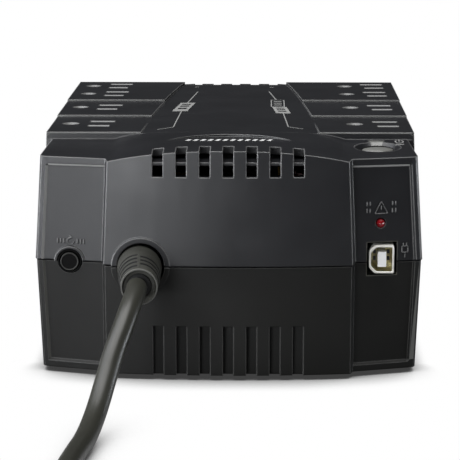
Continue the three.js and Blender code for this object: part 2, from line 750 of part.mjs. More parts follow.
function transformerCore() {
  const { x, y, z0, width, depth, height } = TRANSFORMER;
  const stack = solid(box(x - width / 2, x + width / 2, y - depth / 2, y + depth / 2, z0, z0 + height));
  const windows = [-1, 1].map((side) => {
    const centre = x + side * width / 4;
    return solid(box(centre - 5.5, centre + 5.5, y - depth, y + depth, z0 + 11, z0 + height - 11));
  });
  return geometryOf(stack.subtract(windows[0]).subtract(windows[1]));
}

function transformerWinding() {
  const { x, y, z0, width, depth, height } = TRANSFORMER;
  const half = width / 4 + 5.5 - GAP;
  const reach = depth / 2 + 10;
  const bottom = z0 + 11 + GAP;
  const top = z0 + height - 11 - GAP;
  const outline = [];
  const corner = 5;
  [[half, -reach], [half, reach], [-half, reach], [-half, -reach]].forEach(([cx, cy]) => {
    const sx = Math.sign(cx);
    const sy = Math.sign(cy);
    const first = [x + cx - sx * corner, y + cy];
    const second = [x + cx, y + cy - sy * corner];
    outline.push(...(sx * sy < 0 ? [first, second] : [second, first]));
  });
  const limb = width / 4 - 5.5 + GAP;
  const body = solid(prism(outline, bottom, top));
  const bore = solid(box(x - limb, x + limb, y - depth / 2 - GAP, y + depth / 2 + GAP, bottom - 1, top + 1));
  return geometryOf(body.subtract(bore));
}

function transformerBracket() {
  const { x, y, z0, width, depth, height } = TRANSFORMER;
  const half = width / 2 + GAP;
  const band = depth / 2 - 3;
  const parts = [
    box(x - half - 1.2, x - half, y - band, y + band, BOTTOM + 3.5, z0 + height + 1.6),
    box(x + half, x + half + 1.2, y - band, y + band, BOTTOM + 3.5, z0 + height + 1.6),
    box(x - half - 1.2, x + half + 1.2, y - band, y + band, z0 + height + GAP, z0 + height + 1.6),
    box(x - half - 8, x - half, y - band, y + band, BOTTOM + 3.5, BOTTOM + 4.9),
    box(x + half, x + half + 5, y - band, y + band, BOTTOM + 3.5, BOTTOM + 4.9),
    box(x - half - 1.2, x + half + 1.2, y - band, y + band, BOTTOM + 3.5, BOTTOM + 4.9),
  ];
  return geometryOf(joined(parts));
}

// Plastic carrier under a bank: a bar with a well under every slot and ground hole.
function receptacleCarrier(sideName) {
  const x = SLOT_X[sideName];
  const shape = box(x - 16, x + 6.2, OUTLET_ROWS[0] - 12, OUTLET_ROWS[3] + 11, 66, TERRACES[0] - 3.2 - GAP);
  let carrier = solid(shape);
  OUTLET_ROWS.forEach((row) => {
    [-1, 1].forEach((end) => {
      const y = row + end * BLADE_PITCH / 2;
      carrier = carrier.subtract(solid(box(x - 4.4, x + 4.4, y - 1.9, y + 1.9, 68, 95)));
    });
    carrier = carrier.subtract(solid(barZ(x - GROUND_OFFSET, row, 68, 95, 3.1, 3.1, 12)));
  });
  return geometryOf(carrier);
}

// Brass strip under a carrier, with a turned-up tab below each outlet.
function busBar(x, y0, y1, z) {
  return box(x - 2.4, x + 2.4, y0, y1, z - 1, z);
}

function busBars(sideName) {
  const x = SLOT_X[sideName];
  const y0 = OUTLET_ROWS[0] - 14;
  const y1 = OUTLET_ROWS[3] + 12;
  return [
    ['ground_bus_bar', busBar(x - GROUND_OFFSET, y0, y1, 65.7)],
    ['neutral_bus_bar', busBar(x + 3.2, y0, y1, 65.7)],
    ['line_bus_bar', busBar(x - 3.2, y0, y1, 65.7)],
  ];
}

// ---------------------------------------------------------------- mains lead
function strainRelief() {
  const profile = [
    [0, -RELIEF.length],
    [4.6, -RELIEF.length],
    [6.9, -RELIEF.length + 0.6],
    [7.2, -RELIEF.length + 3],
  ];
  for (let i = 0; i < 4; i += 1) {
    const y = -RELIEF.length + 4 + i * 3.6;
    const radius = 7.25 + i * 0.28;
    profile.push([radius, y], [radius - 0.9, y + 0.5], [radius - 0.9, y + 1.4], [radius + 0.1, y + 1.9]);
  }
  profile.push([RELIEF.hole - 0.5, -2.6], [RELIEF.hole - 0.35, 1.5], [RELIEF.hole - 0.35, 8]);
  profile.push([RELIEF.hole + 0.7, 8.2], [RELIEF.hole + 0.7, 11], [0, 11]);
  const geometry = new THREE.LatheGeometry(profile.map(([r, y]) => new THREE.Vector2(r, y)), 20);
  const place = geometry.attributes.position;
  for (let i = 0; i < place.count; i += 1) {
    place.setZ(i, place.getZ(i) + RELIEF.droop * Math.min(place.getY(i), 0));
  }
  geometry.translate(RELIEF.x, 0, RELIEF.z);
  return geometry;
}

const CORD_ROUTE = [
  [-32.5, -22.9, 41],
  [-32.7, -29, 40],
  [-34, -38, 36.8],
  [-36.2, -46.5, 31],
  [-38.8, -54, 24.2],
  [-40.9, -61, 17.2],
  [-42.7, -69, 11],
  [-44.4, -79, 6.4],
  [-46, -92, 4.1],
  [-47.6, -106, 3.8],
  [-49, -122, 3.8],
  [-49.8, -138, 3.8],
  [-50, -155, 3.8],
  [-50, -172, 3.8],
  [-50, -188.4, 3.8],
];

function powerCord() {
  return tube(CORD_ROUTE, CORD_RADIUS, 30, 10);
}

function powerCordCoil() {
  const half = (COIL.wide * 2 * CORD_RADIUS) / 2;
  const height = COIL.layers * 2 * CORD_RADIUS;
  const round = 2.2;
  const inner = COIL.mean - half;
  const outer = COIL.mean + half;
  const profile = [
    [inner, round], [inner + round, 0.05], [outer - round, 0.05], [outer, round],
    [outer, height - round], [outer - round, height], [inner + round, height], [inner, height - round],
    [inner, round],
  ];
  const geometry = new THREE.LatheGeometry(profile.map(([r, z]) => new THREE.Vector2(r, z)), 40);
  geometry.rotateX(Math.PI / 2);
  geometry.translate(COIL.x, COIL.y, 0);
  return geometry;
}

const TAIL_ROUTE = [
  [24.6, -259, 11.3],
  [29, -259, 11.4],
  [PLUG.x - 10.4, PLUG.y, 11.8],
  [PLUG.x - 6.3, PLUG.y, PLUG.z],
];

function powerCordTail() {
  return tube(TAIL_ROUTE, CORD_RADIUS, 4, 10);
}

function plugBody() {
  const neck = barX(PLUG.y, PLUG.z, PLUG.x - 6, PLUG.x + 8, 5.6, 20);
  const grip = loft(
    [plugSection(9, 8), plugSection(12.6, 11.4), plugSection(12.6, 11.6)],
    [0, 12, 30],
  );
  grip.rotateY(Math.PI / 2);
  grip.translate(PLUG.x + 4, PLUG.y, PLUG.z);
  return geometryOf(joined([neck, grip]));
}

// Octagonal section of the plug's grip.
function plugSection(halfWidth, halfHeight) {
  const c = 4;
  return [
    [halfHeight - c, -halfWidth], [halfHeight, -halfWidth + c], [halfHeight, halfWidth - c],
    [halfHeight - c, halfWidth], [-halfHeight + c, halfWidth], [-halfHeight, halfWidth - c],
    [-halfHeight, -halfWidth + c], [-halfHeight + c, -halfWidth],
  ];
}

function plugBlade(dy) {
  const x0 = PLUG.x + 34 + GAP;
  const z = PLUG.z + 4;
  return box(x0, x0 + 17, PLUG.y + dy - 0.75, PLUG.y + dy + 0.75, z - 3.1, z + 3.1);
}

function plugGroundPin() {
  const x0 = PLUG.x + 34 + GAP;
  return barX(PLUG.y, PLUG.z - 7.9, x0, x0 + 19.5, 2.4, 12);
}

// ---------------------------------------------------------------- the object
const object = new THREE.Group();
object.position.y = -LENGTH / 2;

function addPart(name, geometry, material) {
  const mesh = new THREE.Mesh(geometry, material);
  mesh.name = name;
  object.add(mesh);
}

function addHousing() {
  addPart('upper_shell', upperShell(), MATERIALS.upper);
  addPart('lower_shell', lowerShell(), MATERIALS.lower);
  addPart('battery_door', batteryDoor(), MATERIALS.lower);
  FOOT_SPOTS.forEach((spot, i) => addPart(`foot_${i + 1}`, foot(spot), MATERIALS.rubber));
  SCREW_SPOTS.forEach((spot, i) => addPart(`shell_screw_${i + 1}`, shellScrew(spot), MATERIALS.steel));
}

function addControls() {
  addPart('power_button', powerButton(), MATERIALS.black);
  addPart('power_switch_plunger', powerPlunger(), MATERIALS.ivory);
  addPart('power_switch', powerSwitch(), MATERIALS.black);
  addPart('breaker_button', breakerButton(), MATERIALS.black);
  addPart('breaker_collar', breakerCollar(), MATERIALS.black);
  addPart('breaker_body', breakerBody(), MATERIALS.black);
  addPart('fault_lamp', faultLamp(), MATERIALS.lamp);
  addPart('usb_shell', usbShell(), MATERIALS.steel);
  addPart('usb_tongue', usbTongue(), MATERIALS.ivory);
}

function addElectronics() {
  addPart('main_board', mainBoard(), MATERIALS.board);
  addPart('port_board', portBoard(), MATERIALS.board);
  addPart('board_screw_near', boardScrew(BOARD_SCREWS[0]), MATERIALS.steel);
  addPart('board_screw_far', boardScrew(BOARD_SCREWS[1]), MATERIALS.steel);
  addPart('heatsink', heatsink(), MATERIALS.aluminium);
  addPart('relay_near', relay(84), MATERIALS.relay);
  addPart('relay_far', relay(100), MATERIALS.relay);
  addPart('filter_capacitor_near', filterCapacitor(88), MATERIALS.film);
  addPart('filter_capacitor_far', filterCapacitor(106), MATERIALS.film);
  addPart('transformer_core', transformerCore(), MATERIALS.laminations);
  addPart('transformer_winding', transformerWinding(), MATERIALS.winding);
  addPart('transformer_bracket', transformerBracket(), MATERIALS.steel);
}

function addBattery() {
  addPart('battery', battery(), MATERIALS.batteryCase);
  addPart('battery_tab_positive', batteryTab(22), MATERIALS.brass);
  addPart('battery_tab_negative', batteryTab(-22), MATERIALS.brass);
  addPart('battery_lead_positive', batteryLead(LEAD_POSITIVE), MATERIALS.leadRed);
  addPart('battery_lead_negative', batteryLead(LEAD_NEGATIVE), MATERIALS.leadBlack);
}

function addOutlets() {
  ['left', 'right'].forEach((sideName) => {
    addPart(`receptacle_carrier_${sideName}`, receptacleCarrier(sideName), MATERIALS.ivory);
    busBars(sideName).forEach(([name, bar]) => addPart(`${name}_${sideName}`, bar, MATERIALS.brass));
  });
}

function addMainsLead() {
  addPart('strain_relief', strainRelief(), MATERIALS.rubber);
  addPart('power_cord', powerCord(), MATERIALS.rubber);
  addPart('power_cord_coil', powerCordCoil(), MATERIALS.rubber);
  addPart('power_cord_tail', powerCordTail(), MATERIALS.rubber);
  addPart('plug_body', plugBody(), MATERIALS.rubber);
  addPart('plug_blade_line', plugBlade(-6.35), MATERIALS.brass);
  addPart('plug_blade_neutral', plugBlade(6.35), MATERIALS.brass);
  addPart('plug_ground_pin', plugGroundPin(), MATERIALS.brass);
}

addHousing();
addControls();
addElectronics();
addBattery();
addOutlets();
addMainsLead();

export default object;
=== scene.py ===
"""Looks of a slim eight-outlet uninterruptible power supply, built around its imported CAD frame.

The frame is in metres. Its +Y runs from the cord end to the far end, and +Z is up. The places and
sizes of the added details are in millimetres, with y counted from the rear face.
"""

import math

import bpy
import bmesh
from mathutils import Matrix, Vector
from mathutils.bvhtree import BVHTree


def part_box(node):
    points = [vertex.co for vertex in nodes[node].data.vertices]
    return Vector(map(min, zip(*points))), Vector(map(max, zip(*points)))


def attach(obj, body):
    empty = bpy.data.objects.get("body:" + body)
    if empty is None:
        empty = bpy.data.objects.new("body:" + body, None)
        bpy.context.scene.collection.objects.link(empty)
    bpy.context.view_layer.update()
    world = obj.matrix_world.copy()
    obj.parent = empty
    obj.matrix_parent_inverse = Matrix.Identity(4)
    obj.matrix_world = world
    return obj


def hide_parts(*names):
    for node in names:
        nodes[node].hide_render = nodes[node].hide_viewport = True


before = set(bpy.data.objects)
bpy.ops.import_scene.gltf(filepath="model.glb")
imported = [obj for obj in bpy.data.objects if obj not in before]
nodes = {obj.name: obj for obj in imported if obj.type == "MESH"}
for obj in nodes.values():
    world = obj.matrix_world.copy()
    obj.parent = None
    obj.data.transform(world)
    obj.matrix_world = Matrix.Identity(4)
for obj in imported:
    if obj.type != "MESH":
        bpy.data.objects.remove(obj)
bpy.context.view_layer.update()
MM = 0.001

# The upper shell's box gives the heights and ends that the camera, lights and marks are placed from.
upper_low, upper_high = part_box("upper_shell")
REAR = upper_low.y
FAR = upper_high.y
SEAM = upper_low.z
TOP = upper_high.z


# ---------------------------------------------------------------- camera
# x is from the centre plane, "back" from the rear face and "up" from the floor, in metres.
VIEW = {"x": 0.0135, "back": 0.7778, "up": 0.2028, "pitch": 10.56, "yaw": 0.94, "lens": 168.0}


def make_camera():
    """The reference view: from the cord end, a little above, just right of the centre plane."""
    data = bpy.data.cameras.new("camera")
    data.sensor_width = 36.0
    data.lens = VIEW["lens"]
    data.clip_start = 0.05
    data.clip_end = 50
    camera = bpy.data.objects.new("camera", data)
    camera.location = (VIEW["x"], REAR - VIEW["back"], VIEW["up"])
    pitch, yaw = math.radians(VIEW["pitch"]), math.radians(VIEW["yaw"])
    camera.rotation_euler = (math.pi / 2 - pitch, 0, yaw)
    bpy.context.scene.collection.objects.link(camera)
    bpy.context.scene.camera = camera


make_camera()


# ---------------------------------------------------------------- node helpers
# Noise mostly lies between these two values, so ramps and spreads run from one to the other.
NOISE_LOW, NOISE_HIGH = 0.3, 0.7


def mapped(tree, source, start, end, low=0.0, high=1.0, smooth=False):
    """A value that runs from low to high while the source runs from start to end."""
    node = tree.nodes.new("ShaderNodeMapRange")
    if smooth:
        node.interpolation_type = "SMOOTHSTEP"
    for socket, value in (("From Min", start), ("From Max", end), ("To Min", low), ("To Max", high)):
        node.inputs[socket].default_value = value
    tree.links.new(source, node.inputs["Value"])
    return node.outputs["Result"]


def joined(tree, operation, first, second):
    """One Math node over two sockets."""
    node = tree.nodes.new("ShaderNodeMath")
    node.operation = operation
    tree.links.new(first, node.inputs[0])
    tree.links.new(second, node.inputs[1])
    return node.outputs["Value"]


def object_axes(tree):
    """The x, y and z of a place on the object, as the outputs of a Separate XYZ node."""
    place = tree.nodes.new("ShaderNodeTexCoord")
    axes = tree.nodes.new("ShaderNodeSeparateXYZ")
    tree.links.new(place.outputs["Object"], axes.inputs["Vector"])
    return axes.outputs


class Nodes:
    """Shorthand for building one material's node tree."""

    def __init__(self, name):
        self.material = bpy.data.materials.new(name)
        self.material.use_nodes = True
        self.tree = self.material.node_tree
        self.shader = self.tree.nodes["Principled BSDF"]

    def add(self, kind, **sockets):
        node = self.tree.nodes.new(kind)
        for key, value in sockets.items():
            node.inputs[key].default_value = value
        return node

    def link(self, source, target):
        self.tree.links.new(source, target)

    def coords(self, scale=(1, 1, 1)):
        place = self.add("ShaderNodeTexCoord")
        mapping = self.add("ShaderNodeMapping")
        mapping.inputs["Scale"].default_value = scale
        self.link(place.outputs["Object"], mapping.inputs["Vector"])
        return mapping.outputs["Vector"]

    def noise(self, scale, detail=2.0, coords=None):
        node = self.add("ShaderNodeTexNoise", Scale=scale, Detail=detail)
        self.link(coords or self.coords(), node.inputs["Vector"])
        return node.outputs["Fac"]

    def ramp(self, source, low, high):
        node = self.add("ShaderNodeValToRGB")
        first, second = node.color_ramp.elements
        first.position, second.position = NOISE_LOW, NOISE_HIGH
        first.color, second.color = (*low, 1), (*high, 1)
        self.link(source, node.inputs["Fac"])
        return node.outputs["Color"]

    def spread(self, source, low, high):
        return mapped(self.tree, source, NOISE_LOW, NOISE_HIGH, low, high)

    def highlight_mask(self, rounded, patches):
        """Mask of the painted edge highlight: how far a rounded edge's normal turns from the face's, broken
        up by patches.
        """
        flat = self.tree.nodes.new("ShaderNodeNewGeometry")
        dot = self.tree.nodes.new("ShaderNodeVectorMath")
        dot.operation = "DOT_PRODUCT"
        self.link(rounded, dot.inputs[0])
        self.link(flat.outputs["Normal"], dot.inputs[1])
        edge_glint = mapped(self.tree, dot.outputs["Value"], 0.998, 0.88)
        for share in (self.spread(patches, 0.75, 1.0), self.open_air(), self.not_under(rounded)):
            edge_glint = joined(self.tree, "MULTIPLY", edge_glint, share)
        return edge_glint

    def open_air(self):
        """One on outer edges, falling to a faint trace in inner corners."""
        shade = self.tree.nodes.new("ShaderNodeAmbientOcclusion")
        shade.samples = 6
        shade.inputs["Distance"].default_value = 1.5 * MM
        return mapped(self.tree, shade.outputs["AO"], 0.55, 0.88, low=0.30)

    def not_under(self, rounded):
        """One where a rounded edge faces up or sideways, nothing where it faces down."""
        axes = self.tree.nodes.new("ShaderNodeSeparateXYZ")
        self.link(rounded, axes.inputs["Vector"])
        return mapped(self.tree, axes.outputs["Z"], -0.30, -0.05)

    def paint_lip_shade(self, base, height):
        """Painted shade: turns a colour nearly black above a height, on the lip of one shell that sits in
        shadow inside the other.
        """
        above = self.add("ShaderNodeMath")
        above.operation = "GREATER_THAN"
        above.inputs[1].default_value = height
        self.link(object_axes(self.tree)["Z"], above.inputs[0])
        return self.mixed(above.outputs["Value"], base, (0.001, 0.001, 0.001))

    def mixed(self, factor, base, colour):
        """Mixes a fixed colour over a base. Sockets 6, 7 and output 2 are the Mix node's colours."""
        mix = self.tree.nodes.new("ShaderNodeMix")
        mix.data_type = "RGBA"
        self.link(factor, mix.inputs["Factor"])
        self.link(base, mix.inputs[6])
        mix.inputs[7].default_value = (*colour, 1)
        return mix.outputs[2]

    def bump(self, source, strength, distance, under=None):
        node = self.add("ShaderNodeBump", Strength=strength, Distance=distance)
        self.link(source, node.inputs["Height"])
        if under is not None:
            self.link(under, node.inputs["Normal"])
        self.link(node.outputs["Normal"], self.shader.inputs["Normal"])


def tint(colour, factor):
    return tuple(min(c * factor, 1) for c in colour)


def moulded(name, colour, roughness, grain=2600, grain_height=0.05 * MM, contrast=0.12, specular=0.5,
            edge_radius=0.0, glint_colour=None, lip_shade_height=None):
    """Moulded plastic: fine grain, cloudy variation and uneven gloss.

    With an edge radius, the shading of edges is rounded, and outer edges that face up are mixed towards the
    edge colour: a painted highlight. With a height given, the colour is nearly black above it: painted
    shade on a shell's lip.
    """
    m = Nodes(name)
    base = m.ramp(m.noise(28, 3), tint(colour, 1 - contrast), tint(colour, 1 + contrast))
    rounded = None
    if edge_radius:
        # Painted highlight: rounded outer edges are mixed towards the edge colour.
        bevel = m.tree.nodes.new("ShaderNodeBevel")
        bevel.samples = 6
        bevel.inputs["Radius"].default_value = edge_radius
        rounded = bevel.outputs["Normal"]
        edge_glint = m.highlight_mask(rounded, m.noise(90, 3))
        base = m.mixed(edge_glint, base, glint_colour)
    # Painted shade: nearly black above the given height.
    if lip_shade_height is not None:
        base = m.paint_lip_shade(base, lip_shade_height)
    m.link(base, m.shader.inputs["Base Color"])
    m.link(m.spread(m.noise(60, 4), roughness - 0.05, roughness + 0.05), m.shader.inputs["Roughness"])
    m.shader.inputs["Specular IOR Level"].default_value = specular
    m.bump(m.noise(grain, 2), 0.35, grain_height, rounded)
    return m.material


def metal(name, colour, roughness, brushed=(1, 1, 1)):
    """Plated or drawn metal with fine drawing lines."""
    m = Nodes(name)
    m.shader.inputs["Metallic"].default_value = 1.0
    lines = m.noise(900, 3, m.coords(brushed))
    m.link(m.ramp(lines, tint(colour, 0.9), tint(colour, 1.1)), m.shader.inputs["Base Color"])
    m.link(m.spread(lines, roughness - 0.06, roughness + 0.06), m.shader.inputs["Roughness"])
    m.bump(lines, 0.15, 0.02 * MM)
    return m.material


# ---------------------------------------------------------------- materials
def make_materials():
    """The finishes by name: base colour, roughness, and what sets them apart from the plain kind."""
    return {
        # The shells' edge colours are painted highlights; the lower shell's colour above its lip height is
        # painted shade.
        "upper": moulded("upper_plastic", (0.011, 0.0113, 0.0132), 0.34, specular=0.52,
                         edge_radius=0.7 * MM, glint_colour=(0.30, 0.30, 0.295)),
        "lower": moulded("lower_plastic", (0.0102, 0.0101, 0.0092), 0.46, grain=2200,
                         grain_height=0.06 * MM, specular=0.26, edge_radius=0.6 * MM,
                         glint_colour=(0.12, 0.12, 0.115), lip_shade_height=SEAM - 0.45 * MM),
        # Painted light: lighter copies of the plastic for the recess walls and the outlet slots' lead-ins.
        "lit_wall": moulded("lit_wall", (0.42, 0.42, 0.41), 0.4, contrast=0.1),
        "dim_wall": moulded("dim_wall", (0.12, 0.12, 0.11), 0.4, contrast=0.1),
        "slot_highlight": moulded("slot_highlight", (0.17, 0.17, 0.165), 0.4, contrast=0.1),
        # Painted highlight along the edge of the port's opening.
        "port_edge_highlight": moulded("port_edge_highlight", (0.08, 0.078, 0.062), 0.4, contrast=0.1),
        # Painted highlight for the terrace edges.
        "terrace_highlight": moulded("terrace_highlight_edge", (0.20, 0.20, 0.19), 0.35, contrast=0.2),
        # Painted highlight for the power button's near part and its dish rim.
        "button_highlight": moulded("button_highlight", (0.17, 0.17, 0.158), 0.2, grain=1200,
                                grain_height=0.01 * MM),
        "relief": moulded("relief_rubber", (0.042, 0.042, 0.035), 0.5, grain=1300,
                          grain_height=0.1 * MM, contrast=0.35, specular=0.4),
        # Painted highlight around the rim of the boot's cup.
        "relief_rim_highlight": moulded("relief_rim_highlight", (0.10, 0.10, 0.09), 0.45),
        "plated": moulded("plated_rim", (0.80, 0.79, 0.72), 0.3, contrast=0.05, specular=0.9),
        "gilt": metal("gilt_lining", (0.62, 0.57, 0.34), 0.42),
        # Painted shade: near black for the boot's slots and cup and the port's slots.
        "shade_black": moulded("painted_recess_shade", (0.004, 0.004, 0.004), 0.7),
        "black": moulded("black_plastic", (0.004, 0.004, 0.004), 0.45, grain=3000, specular=0.22),
        "dull_black": moulded("dull_black_plastic", (0.002, 0.002, 0.002), 0.6, specular=0.12),
        # Painted highlight for the ring on the reset cap.
        "ring_highlight": moulded("ring_highlight_plastic", (0.045, 0.045, 0.042), 0.5, specular=0.3),
        "rubber": moulded("black_rubber", (0.016, 0.016, 0.015), 0.55, grain=1600, contrast=0.2),
        "cord": moulded("cord_vinyl", (0.028, 0.028, 0.022), 0.38, grain=900, grain_height=0.03 * MM),
        "ivory": moulded("ivory_plastic", (0.97, 0.97, 0.95), 0.35, contrast=0.02),
        "board": moulded("circuit_board", (0.02, 0.11, 0.045), 0.4, grain=700),
        "winding": moulded("copper_winding", (0.45, 0.20, 0.05), 0.35, grain=500),
        "battery": moulded("battery_case", (0.05, 0.052, 0.058), 0.5),
        "red": moulded("lead_red", (0.12, 0.008, 0.008), 0.4),
        "film": moulded("film_yellow", (0.50, 0.36, 0.05), 0.3),
        "relay": moulded("relay_blue", (0.02, 0.07, 0.28), 0.3),
        "steel": metal("nickel_steel", (0.62, 0.61, 0.57), 0.28),
        "laminations": metal("laminations", (0.14, 0.14, 0.15), 0.5, brushed=(1, 8, 1)),
        "aluminium": metal("aluminium", (0.70, 0.71, 0.72), 0.35, brushed=(1, 8, 1)),
        "brass": metal("brass", (0.62, 0.42, 0.16), 0.3),
        "ink": moulded("light_ink", (0.30, 0.30, 0.29), 0.5, contrast=0.08),
        "bright_ink": moulded("bright_ink", (0.80, 0.80, 0.78), 0.45, contrast=0.06),
        "lamp": lamp_lens(),
    }


def lamp_lens():
    """Glossy red lens with a cloudy core."""
    m = Nodes("lamp_lens")
    cloudy = m.ramp(m.noise(700, 2), (0.28, 0.006, 0.010), (0.17, 0.002, 0.006))
    m.link(cloudy, m.shader.inputs["Base Color"])
    m.shader.inputs["Roughness"].default_value = 0.12
    m.shader.inputs["Coat Weight"].default_value = 0.6
    m.bump(m.noise(1500, 1), 0.08, 0.02 * MM)
    return m.material


materials = make_materials()


# ---------------------------------------------------------------- mesh helpers
HARD_EDGE = 30
MERGE_DISTANCE = 1e-6


def linked(name, data, material, body="housing"):
    """Adds a new piece that rides a body and takes a slot's finish."""
    piece = bpy.data.objects.new(name, data)
    bpy.context.scene.collection.objects.link(piece)
    data.materials.clear()
    data.materials.append(material)
    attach(piece, body)
    return piece


def shade_smooth(piece):
    piece.data.polygons.foreach_set("use_smooth", [True] * len(piece.data.polygons))


def add_clean_up(piece, flat_angle, delimit=None):
    """Welds a piece's split corners and dissolves its flat seams."""
    weld = piece.modifiers.new("weld", "WELD")
    weld.merge_threshold = MERGE_DISTANCE
    planar = piece.modifiers.new("planar", "DECIMATE")
    planar.decimate_type = "DISSOLVE"
    if delimit:
        planar.delimit = delimit
    planar.angle_limit = math.radians(flat_angle)


def add_split(piece, angle):
    """Keeps edges sharper than the angle hard under smooth shading."""
    split = piece.modifiers.new("split", "EDGE_SPLIT")
    split.split_angle = math.radians(angle)
    split.use_edge_sharp = False


def soften(piece, width, segments=2):
    """Cleans a piece up and rounds its hard edges."""
    add_clean_up(piece, 0.5)
    bevel = piece.modifiers.new("bevel", "BEVEL")
    bevel.width = width
    bevel.segments = segments
    bevel.limit_method = "ANGLE"
    bevel.angle_limit = math.radians(HARD_EDGE)
    bevel.use_clamp_overlap = False
    bevel.harden_normals = False
    shade_smooth(piece)
    normals = piece.modifiers.new("normals", "WEIGHTED_NORMAL")
    normals.keep_sharp = True


def settle(piece):
    """Smooth shading with hard edges kept: the housing's rounded edges are in its material."""
    add_clean_up(piece, 0.3, {"MATERIAL"})
    add_split(piece, 28)
    shade_smooth(piece)
    normals = piece.modifiers.new("normals", "WEIGHTED_NORMAL")
    normals.keep_sharp = True
    normals.weight = 100


def crease(piece):
    """Smooth shading with hard edges kept, for the turned and skinned pieces."""
    shade_smooth(piece)
    add_split(piece, 32)


# ---------------------------------------------------------------- mains lead
# Places are in millimetres: x from the centre plane, y from the rear face, z from the floor.
CORD_RADIUS = 3.75 * MM
CORD_START = (-32.5, -22.9, 41)
CORD_ROUTE = [
    CORD_START, (-32.7, -29, 40), (-34, -38, 36.8), (-36.2, -46.5, 31), (-38.8, -54, 24.2),
    (-40.9, -61, 17.2), (-42.7, -69, 11), (-44.4, -79, 6.4), (-46, -92, 4.1), (-47.6, -106, 3.8),
    (-49, -122, 3.8), (-49.8, -138, 3.8), (-50, -155, 3.8), (-50, -172, 3.8), (-50, -188.4, 3.8),
]
COIL = {"x": -4.5, "y": -215, "outer": 45.5, "pitch": 7.5, "low": 3.8, "high": 11.2, "loosening": 0.9}
TAIL_ROUTE = [(24.6, -259, 11.3), (29, -259, 11.4), (33.6, -259, 11.8), (37.7, -259, 12)]


def from_rear(point):
    """A point given in millimetres from the rear face, in the frame's metres."""
    x, y, z = point
    return Vector((x * MM, REAR + y * MM, z * MM))


def coil_points():
    """Flat two-layer coil: in along the bottom layer, up, and out along the top layer."""
    points = []
    per_turn = 20
    turns_in, turns_up, turns_out = 2.0, 0.5, 2.75
    count = round((turns_in + turns_up + turns_out) * per_turn)
    for i in range(1, count):
        turn = i / per_turn
        angle = math.pi + 2 * math.pi * turn
        inward = min(turn, turns_in)
        outward = max(turn - turns_in - turns_up, 0) * turns_in / turns_out
        radius = COIL["outer"] - COIL["pitch"] * (inward - COIL["loosening"] * outward)
        rise = min(max((turn - turns_in) / turns_up, 0), 1)
        smooth = rise * rise * (3 - 2 * rise)
        z = COIL["low"] + (COIL["high"] - COIL["low"]) * smooth
        points.append((COIL["x"] + radius * math.cos(angle), COIL["y"] + radius * math.sin(angle), z))
    return points


def smooth_curve(name, points, radius, material):
    """A round tube along a smooth curve through the points."""
    data = bpy.data.curves.new(name, "CURVE")
    data.dimensions = "3D"
    data.bevel_depth = radius
    data.bevel_resolution = 6
    data.resolution_u = 6
    data.use_fill_caps = True
    spline = data.splines.new("BEZIER")
    spline.bezier_points.add(len(points) - 1)
    for point, place in zip(spline.bezier_points, points):
        point.co = place
        point.handle_left_type = point.handle_right_type = "AUTO"
    return linked(name, data, material)


def make_cord():
    """The whole lead as one tube: the run along the floor, the coil, and the end at the plug."""
    route = CORD_ROUTE + coil_points() + TAIL_ROUTE[1:]
    cord = smooth_curve("mains_lead", [from_rear(p) for p in route], CORD_RADIUS, materials["cord"])
    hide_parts("power_cord", "power_cord_coil", "power_cord_tail")
    tuple(from_rear(CORD_START))


make_cord()


# ---------------------------------------------------------------- housing
RECESS = {"depth": 17 * MM, "inner": 47 * MM, "outer": 71 * MM, "seam_gap": 3 * MM, "least_area": 4e-6}
OUTLETS = {"depth": 2.4 * MM, "inner": 36 * MM, "near": 48 * MM, "far": 198 * MM}


def dress(name, material, width=0.0, segments=2):
    """Gives a CAD piece its material and, with a width, rounded edges."""
    piece = nodes[name]
    piece.data.materials.clear()
    piece.data.materials.append(material)
    if width:
        soften(piece, width, segments)


def pick_walls():
    """Paints the recess walls and the lead-ins of the outlet slots lighter than the plastic: painted light.
    """
    upper, lower = nodes["upper_shell"].data, nodes["lower_shell"].data
    upper.materials.append(materials["lit_wall"])
    upper.materials.append(materials["slot_highlight"])
    lower.materials.append(materials["dim_wall"])
    for face in list(upper.polygons) + list(lower.polygons):
        centre, normal = face.center, face.normal
        at_end = centre.y < REAR + RECESS["depth"] and RECESS["inner"] < abs(centre.x) < RECESS["outer"]
        slanted = 0.4 < max(normal.x, -normal.z) < 0.97 and normal.y < -0.2
        is_wall = abs(centre.z - SEAM) > RECESS["seam_gap"] and face.area > RECESS["least_area"]
        # Painted light on the recess walls.
        if at_end and slanted and is_wall:
            face.material_index = 1
    for face in upper.polygons:
        centre, normal = face.center, face.normal
        lead_in = 0.3 < normal.z < 0.95 and centre.z > TOP - OUTLETS["depth"]
        in_bank = REAR + OUTLETS["near"] < centre.y < REAR + OUTLETS["far"]
        # Painted highlight on the slot lead-ins.
        if lead_in and in_bank and abs(centre.x) > OUTLETS["inner"]:
            face.material_index = 2


